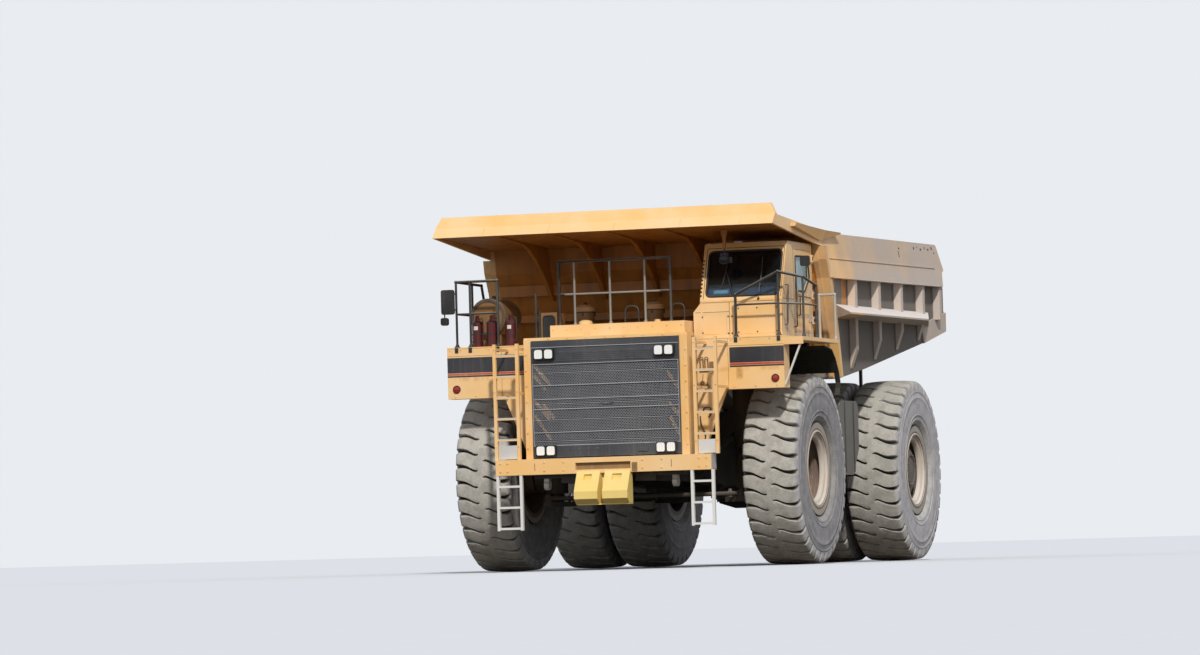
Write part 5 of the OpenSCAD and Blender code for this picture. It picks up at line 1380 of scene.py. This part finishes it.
class TRUCK_OT_decks(bpy.types.Operator):
    """Fittings on the decks and the hood"""
    bl_idname = "truck.decks"
    bl_label = "Decks"

    def execute(self, context):
        deck, hood, walkway = 3.64, 3.93, 3.61
        feet = bmesh.new()
        for x, y, z in ((2.04, -1.78, deck), (2.75, -1.78, deck), (-1.96, -1.78, deck), (-2.43, -1.78, deck),
                        (-2.665, -1.78, deck), (-2.665, -1.0, deck), (-2.665, -0.42, deck),
                        (3.12, -1.64, walkway), (3.12, -0.9, walkway), (3.12, 0.2, walkway),
                        (2.86, 0.2, walkway), *((x, -1.5, hood) for x in (-0.998, -0.74, -0.14, 0.45, 0.88))):
            reach = 0.028 if z == walkway else 0.038
            add_blocks(feet, ((x - reach, y - reach, z + 0.0004), (x + reach, y + reach, z + 0.012)))
            add_lathe(feet, [(0.012, 0.032), (0.05, 0.027)], at(x, y, z), UP, 14)
            for k in (-1, 1):
                add_bolt(feet, at(x + k * reach * 0.75, y + k * reach * 0.75, z + 0.012), UP, 0.014)
        make_piece("rail_feet", feet, "handrail", bevel=0.0015)
        # Bottles: blank labels on the outer two, hand lever, hose and hoops
        labels, levers = bmesh.new(), bmesh.new()
        middle_bottle, shell = -2.14, 0.0905
        for x in (-2.39, middle_bottle, -1.82):
            centre = at(x, -1.56, deck)
            if x != middle_bottle:
                add_patch(labels, centre, shell, 248, 292, deck + 0.28, deck + 0.34, 0.0015)
            for a, b in (((-0.012, -0.10, 0.475), (0.012, 0.03, 0.49)),
                         ((-0.010, -0.09, 0.445), (0.010, 0.0, 0.455))):
                add_block(levers, centre + Vector(a), centre + Vector(b))
            hose = ((0.02, 0, 0.46), (0.10, -0.03, 0.47), (0.115, -0.05, 0.25), (0.10, -0.05, 0.08))
            add_pipe(levers, [centre + Vector(p) for p in hose], 0.06, 0.010)
            for height in (0.08, 0.20, 0.375):
                add_band(levers, height, height + 0.022, shell, 0.094, centre, UP, 28)
        make_piece("bottle_labels", labels, "white")
        make_piece("bottle_fittings", levers, "black_plastic")
        # Air cleaners: clamp bands, knob on the cap and clips; reservoir: straps, filler and end ring
        bands = bmesh.new()
        for x in (-0.88, 0.30):
            for z in (3.55, 3.86, 4.17):
                add_band(bands, 0.0, 0.03, 0.146, 0.152, at(x, -0.55, z), UP, 36)
            add_lathe(bands, [(0.0, 0.03), (0.03, 0.03), (0.045, 0.018)], at(x, -0.55, 4.304), UP, 16)
            for c, s in turns(3, 0.25):
                add_blocks(bands, ((x + c * 0.155 - 0.012, -0.55 + s * 0.155 - 0.012, 4.12),
                                   (x + c * 0.155 + 0.012, -0.55 + s * 0.155 + 0.012, 4.19)))
        for y in (-1.19, -0.64):
            add_band(bands, 0.0, 0.04, 0.3005, 0.306, at(-2.30, y, 4.14), BACK, 48)
        add_lathe(bands, [(0.0, 0.06), (0.05, 0.06), (0.06, 0.045)], at(-2.30, -0.9, 4.435), UP, 20)
        add_ring(bands, [(0.0, 0.24), (0.0, 0.292), (0.012, 0.286), (0.012, 0.246)], at(-2.30, -1.30, 4.14),
                 AHEAD, 40)
        make_piece("equipment_bands", bands, "cast_steel", bevel=0.001)
        # Box with a round-cornered window, and hoses that loop over the hood
        face, caps, bolts = bmesh.new(), bmesh.new(), bmesh.new()
        box_front = -1.30
        add_pipe(face, [at(x, box_front - 0.004, z) for x, z in round_of(-1.355, 3.73, -1.155, 4.12)], 0.06,
                 0.010)
        add_blocks(face, ((-1.345, box_front - 0.003, 3.74), (-1.165, box_front, 4.11)))
        for x0, x1, rise in ((0.04, 0.27, 0.29), (0.83, 1.04, 0.30)):
            add_grab(face, at(x0, -1.30, hood), at(x1, -1.30, hood), (0, 0, rise), 0.14, 0.014, 6)
        make_piece("hood_hoses", face, "black_plastic", smooth=50)
        add_lathe(caps, [(0.0, 0.115), (0.045, 0.115), (0.075, 0.09), (0.09, 0.04)], at(-0.60, -1.40, hood),
                  UP, 28)
        add_lathe(caps, [(0.0, 0.05), (0.05, 0.05), (0.06, 0.03)], at(0.60, -1.35, hood), UP, 20)
        add_blocks(caps, *(((x - 0.05, -1.953, 3.76), (x + 0.05, -1.95, 3.80)) for x in (-0.40, 0.25, 0.95)))
        make_piece("hood_caps", caps, "yellow", bevel=0.003)
        add_bolts(bolts, at(0, -1.95, 0).y, [(-0.97 + 0.239 * k, 3.86) for k in range(10)], 0.02)
        add_bolts(bolts, at(0, -2.25, 0).y, [(-1.28 + 0.32 * k, 3.705) for k in range(9)], 0.018)
        make_piece("hood_bolts", bolts, "yellow")
        return {"FINISHED"}


class TRUCK_OT_ladders(bpy.types.Operator):
    """Foot plates, rung wear strips, and the fittings behind the ladders"""
    bl_idname = "truck.ladders"
    bl_label = "Ladders"

    def execute(self, context):
        ladder, panel = at(0, -2.50, 0).y, low("left_deck").y
        plates, treads, recesses = bmesh.new(), bmesh.new(), bmesh.new()
        for x0, x1 in ((1.575, 1.865), (-1.765, -1.445)):
            add_plate(plates, ladder + 0.035, (x0, 1.80), (x1, 2.02), 0.0, 0.006)
            for z in (2.09, 2.425, 2.76, 3.095, 3.43):
                add_plate(treads, ladder + 0.002, (x0, z + 0.022), (x1, z + 0.037), 0.0, 0.054)
        make_piece("foot_plates", plates, "galvanised", bevel=0.001)
        make_piece("rung_strips", treads, "galvanised", bevel=0.001)
        for z in (2.24, 2.575, 2.91):
            add_plate(recesses, panel, (-1.46, z), (-1.41, z + 0.05), 0.004)
        make_piece("step_recesses", recesses, "rust", bevel=0.001)
        # Shut-off handles, round vents, junction box and hoses on the left panel
        handles, pulls, labels, hoses = bmesh.new(), bmesh.new(), bmesh.new(), bmesh.new()
        for x in (1.45, 1.53):
            add_grab(handles, (x, panel - 0.02, 3.12), (x + 0.05, panel - 0.02, 3.12), (0, -0.02, 0.21),
                     0.024, 0.009)
            add_plate(handles, panel, (x - 0.015, 3.11), (x + 0.065, 3.14), 0.03)
        for x, z in ((1.475, 2.925), (1.555, 2.87)):
            add_band(handles, 0.0, 0.016, 0.018, 0.036, (x, panel - 0.012, z), AHEAD, 24)
            add_tube(handles, [(x, panel - 0.012, z + 0.03), (x + 0.01, panel - 0.004, z + 0.14)], 0.007)
        add_plate(handles, panel, (1.60, 3.13), (1.70, 3.26), 0.03)
        # The handles, vents and box are brown as painted shade
        make_piece("panel_handles", handles, "brown", bevel=0.002)
        box = (-1.35, low("grille").y + 0.10, 1.85)
        add_lathe(pulls, [(0.0, 0.030), (0.15, 0.030), (0.175, 0.016), (0.195, 0.016)], box, UP, 20)
        add_band(labels, 0.05, 0.11, 0.0302, 0.0315, box, UP, 20)
        make_piece("pull_box", pulls, "red_enamel")
        make_piece("pull_label", labels, "white")
        for bend, route in ((0.05, ((1.47, 0.01, 2.47), (1.49, 0.03, 2.53), (1.60, 0.04, 2.54),
                                    (1.62, 0.03, 2.45), (1.56, 0.01, 2.38))),
                            (0.08, ((1.42, 0.01, 2.40), (1.44, 0.04, 2.25), (1.52, 0.03, 2.10),
                                    (1.47, 0.01, 1.98)))):
            add_pipe(hoses, [(x, panel - out, z) for x, out, z in route], bend, 0.010)
        make_piece("panel_hoses", hoses, "black_plastic", smooth=50)
        bolts = bmesh.new()
        for inner, outer in ((1.52, 1.92), (-1.82, -1.39)):
            add_bolts(bolts, ladder, [(x, z) for x in (inner + 0.025, outer - 0.025)
                                      for z in (2.0, 2.88, 3.56)], 0.02)
        make_piece("ladder_bolts", bolts, "yellow")
        return {"FINISHED"}


class TRUCK_OT_bumper(bpy.types.Operator):
    """Plates, seams and bolts of the bumper"""
    bl_idname = "truck.bumper"
    bl_label = "Bumper"

    def execute(self, context):
        face = low("front_bumper").y
        tab, seams, bolts, ends = bmesh.new(), bmesh.new(), bmesh.new(), bmesh.new()
        add_plate(tab, face, (0.485, 1.555), (0.575, 1.695), 0.014)
        # The plate set back in the slot above the chocks is brown as painted shade
        add_plate(tab, face + 0.060, (-0.46, 1.602), (0.46, 1.708), 0.005)
        make_piece("bumper_tab", tab, "brown", bevel=0.002)
        for x in (-1.14, 1.14):
            add_seam(seams, face, (x, 1.60), (x, 1.72), 0.008, 0.0015)
        for x in (0.505, 0.53, 0.555):
            add_seam(seams, face - 0.014, (x, 1.58), (x, 1.67), 0.006, 0.0015)
        make_piece("bumper_seams", seams, "rubber")
        for side in SIDE_NAMES:
            add_bolts(bolts, face, [(side * x, z) for x in (1.72, 1.60, 0.98, 0.66) for z in (1.60, 1.73)],
                      0.024)
            add_plate(ends, face + 0.01, (side * 1.800, 1.555), (side * 1.806, 1.775), 0.0, 0.24)
        make_piece("bumper_bolts", bolts, "yellow")
        make_piece("bumper_ends", ends, "screen_bar", bevel=0.001)
        return {"FINISHED"}


def rail_rise(y):
    """Rise of the dump body's box rail over its front end, at a station behind the front axle."""
    return (y - 0.6) * math.tan(math.radians(0.85))


class TRUCK_OT_body(bpy.types.Operator):
    """Weld beads, chips and ejector bars of the dump body"""
    bl_idname = "truck.body"
    bl_label = "Dump Body"

    def execute(self, context):
        beads, chips, bars, lip = bmesh.new(), bmesh.new(), bmesh.new(), bmesh.new()
        skin, ejector = 2.806, 2.141
        # Ribs, and the last one, which has no lower half; edges of the box rail as distance out and height
        ribs, last_rib = (2.11, 3.58, 5.00, 6.44), 7.60
        for side in SIDE_NAMES:
            for y in (*ribs, last_rib):
                runs = [(edge, 4.30, 4.62 + rail_rise(y)) for edge in (y - 0.125, y + 0.275)]
                if y != last_rib:
                    foot = 3.32 + 0.1394 * (y - 3.03)
                    runs += [(edge, foot + 0.12, 3.95) for edge in (y - 0.004, y + 0.154)]
                for edge, bottom, top in runs:
                    add_tube(beads, places((side * skin, edge, bottom), (side * skin, edge, top)), 0.007, 6)
            for x, z in ((2.898, 4.955), (2.962, 4.638)):
                add_tube(beads, [at(side * x, y, z + rail_rise(y)) for y in (0.75, 7.45)], 0.006, 6)
            # Chips in the upper edge of the inclined panel: station, height over its foot, length, height
            for y, up, long, tall in ((5.24, 0.20, 0.04, 0.13), (5.30, 0.30, 0.09, 0.03),
                                      (6.30, 0.33, 0.07, 0.05), (6.52, 0.35, 0.04, 0.03),
                                      (6.75, 0.32, 0.10, 0.04), (7.02, 0.35, 0.05, 0.05),
                                      (7.25, 0.33, 0.12, 0.03), (7.50, 0.36, 0.08, 0.06),
                                      (7.62, 0.28, 0.05, 0.04)):
                outline = []
                for a, b in ((-1, -0.6), (-0.3, -1), (0.7, -0.8), (1, 0.2), (0.4, 1), (-0.6, 0.8)):
                    height = up + b * tall / 2
                    outline.append(at(side * (2.890 - 0.1596 * (height + 0.03) - 0.001), y + a * long / 2,
                                      4.95 + rail_rise(y) + height))
                add_prism(chips, outline, (side * 0.003, 0, 0))
            # Bar that keeps rocks out from between the twin tyres, on its hanger
            for half, y0, z0, y1, z1 in ((0.022, 5.12, 2.15, 5.20, 3.36), (0.06, 5.06, 3.36, 5.26, 3.49)):
                add_blocks(bars, ((side * ejector - half, y0, z0), (side * ejector + half, y1, z1)))
        make_piece("weld_beads", beads, "dump_body", "bed", smooth=60)
        make_piece("edge_chips", chips, "rubber", "bed")
        make_piece("rock_ejectors", bars, "cast_steel", "bed", bevel=0.004)
        # Welds across the lip of the canopy
        for x in (-2.0, -0.9, 0.2, 1.3, 2.3):
            add_tube(lip, places((x, -2.1995, 5.53), (x, -2.317, 5.405)), 0.004, 6)
        make_piece("lip_seams", lip, "canopy", "bed", smooth=60)
        return {"FINISHED"}


class TRUCK_OT_running_gear(bpy.types.Operator):
    """Bolts, boots, straps, hoses and lamps of the frame, axles and tanks"""
    bl_idname = "truck.running_gear"
    bl_label = "Running Gear"

    def execute(self, context):
        strut, axle, flange = 1.65, REAR_AXLE - FRONT_AXLE, 0.452
        for side, name in SIDE_NAMES.items():
            boot = bmesh.new()
            for z in (1.824, 1.846, 1.868):
                add_ring(boot, [(0.0, 0.151), (0.0, 0.19), (0.010, 0.20), (0.020, 0.19), (0.020, 0.151)],
                         at(side * strut, 0, z), UP, 32)
            make_piece(f"strut_boot_{name}", boot, "rubber", f"knuckle_{name[0]}")
        bolts, hoses, straps, fittings = bmesh.new(), bmesh.new(), bmesh.new(), bmesh.new()
        for side in SIDE_NAMES:
            for c, s in turns(12):
                add_bolt(bolts, at(side * strut + c * 0.19, s * 0.19, 3.05), UP, 0.03)
            for c, s in turns(20):
                add_bolt(bolts, at(side * 0.43, axle + c * flange, HUB_HEIGHT + s * flange), (side, 0, 0),
                         0.03)
            add_lathe(straps, [(0.0, 0.075), (0.05, 0.075), (0.065, 0.05)], at(side * 2.35, 2.62, 2.68), UP,
                      24)
            add_blocks(straps, *(((side * 2.600, y, 1.50), (side * 2.606, y + 0.06, 2.66))
                                 for y in (2.42, 2.95)))
            for radius, route in ((0.018, ((0.86, 3.2, 2.2), (0.86, 3.3, 1.7), (0.83, 3.0, 1.45),
                                           (0.83, 2.4, 1.55))),
                                  (0.016, ((1.35, -0.25, 3.0), (1.25, -0.35, 2.6), (0.9, -0.35, 2.2),
                                           (0.82, -0.2, 1.9)))):
                add_pipe(hoses, [at(side * x, y, z) for x, y, z in route], 0.2, radius)
        make_piece("gear_bolts", bolts, "zinc")
        # Under each tank: outlet, looped pipe, two plugs and a drain pipe
        for side in SIDE_NAMES:
            x = side * 2.44
            add_blocks(fittings, ((x - 0.05, 2.44, 1.36), (x + 0.05, 2.60, 1.455)))
            loop = ((2.46, 1.40), (2.36, 1.36), (2.36, 1.22), (2.50, 1.20), (2.58, 1.30), (2.58, 1.37))
            add_pipe(fittings, [at(x, y, z) for y, z in loop], 0.06, 0.016, 10)
            for y in (2.70, 2.86):
                add_lathe(fittings, [(0.0, 0.03), (0.07, 0.03), (0.08, 0.018), (0.12, 0.018)],
                          at(x, y, 1.455), DOWN, 16)
            add_pipe(fittings, places((x, 2.70, 1.35), (x, 2.70, 1.24), (x - side * 0.12, 2.92, 1.20),
                                      (x - side * 0.25, 2.86, 1.36)), 0.08, 0.014)
        make_piece("tank_fittings", fittings, "galvanised", smooth=40)
        make_piece("tank_straps", straps, "frame", bevel=0.002)
        make_piece("frame_hoses", hoses, "rubber", smooth=50)
        lamps, hangers = bmesh.new(), bmesh.new()
        for side in SIDE_NAMES:
            add_blocks(hangers, ((side * 0.52, 6.05, 1.93), (side * 0.72, 6.075, 2.08)))
            for x in (0.57, 0.67):
                add_lathe(lamps, [(0.0, 0.04), (0.015, 0.038), (0.022, 0.02)], at(side * x, 6.075, 1.99),
                          BACK, 24)
        make_piece("tail_lamp_plates", hangers, "frame", bevel=0.002)
        make_piece("tail_lamps", lamps, "reflector")
        return {"FINISHED"}


PIECE_OPERATORS = (TRUCK_OT_paint, TRUCK_OT_tyres, TRUCK_OT_wheel_trim, TRUCK_OT_grille, TRUCK_OT_lamps,
                   TRUCK_OT_fascias, TRUCK_OT_cab, TRUCK_OT_decks, TRUCK_OT_ladders, TRUCK_OT_bumper,
                   TRUCK_OT_body, TRUCK_OT_running_gear)


class TRUCK_PT_panel(bpy.types.Panel):
    """Lists the steps that finish the truck"""
    bl_label = "Dump Truck"
    bl_idname = "TRUCK_PT_panel"
    bl_space_type = "VIEW_3D"
    bl_region_type = "UI"
    bl_category = "Dump Truck"

    def draw(self, context):
        for group in SETTINGS:
            settings = getattr(context.scene, group)
            box = self.layout.box()
            for field in settings.bl_rna.properties:
                if not field.is_readonly and field.identifier != "name":
                    box.prop(settings, field.identifier)
        for operator in (TRUCK_OT_stage, *PIECE_OPERATORS):
            self.layout.operator(operator.bl_idname)


SETTINGS = {"truck_paint": TruckPaintSettings, "truck_tyres": TruckTyreSettings,
            "truck_trim": TruckTrimSettings, "truck_stage": TruckStageSettings}
CLASSES = (*SETTINGS.values(), TRUCK_OT_stage, *PIECE_OPERATORS, TRUCK_PT_panel)


def register():
    for cls in CLASSES:
        bpy.utils.register_class(cls)
    for name, cls in SETTINGS.items():
        setattr(bpy.types.Scene, name, bpy.props.PointerProperty(type=cls))


def unregister():
    for name in SETTINGS:
        delattr(bpy.types.Scene, name)
    for cls in reversed(CLASSES):
        bpy.utils.unregister_class(cls)


def main():
    register()
    bpy.ops.truck.stage()
    bpy.ops.truck.paint()
    bpy.ops.truck.tyres()
    bpy.ops.truck.wheel_trim()
    bpy.ops.truck.grille()
    bpy.ops.truck.lamps()
    bpy.ops.truck.fascias()
    bpy.ops.truck.cab()
    bpy.ops.truck.decks()
    bpy.ops.truck.ladders()
    bpy.ops.truck.bumper()
    bpy.ops.truck.body()
    bpy.ops.truck.running_gear()


if __name__ == "__main__":
    main()
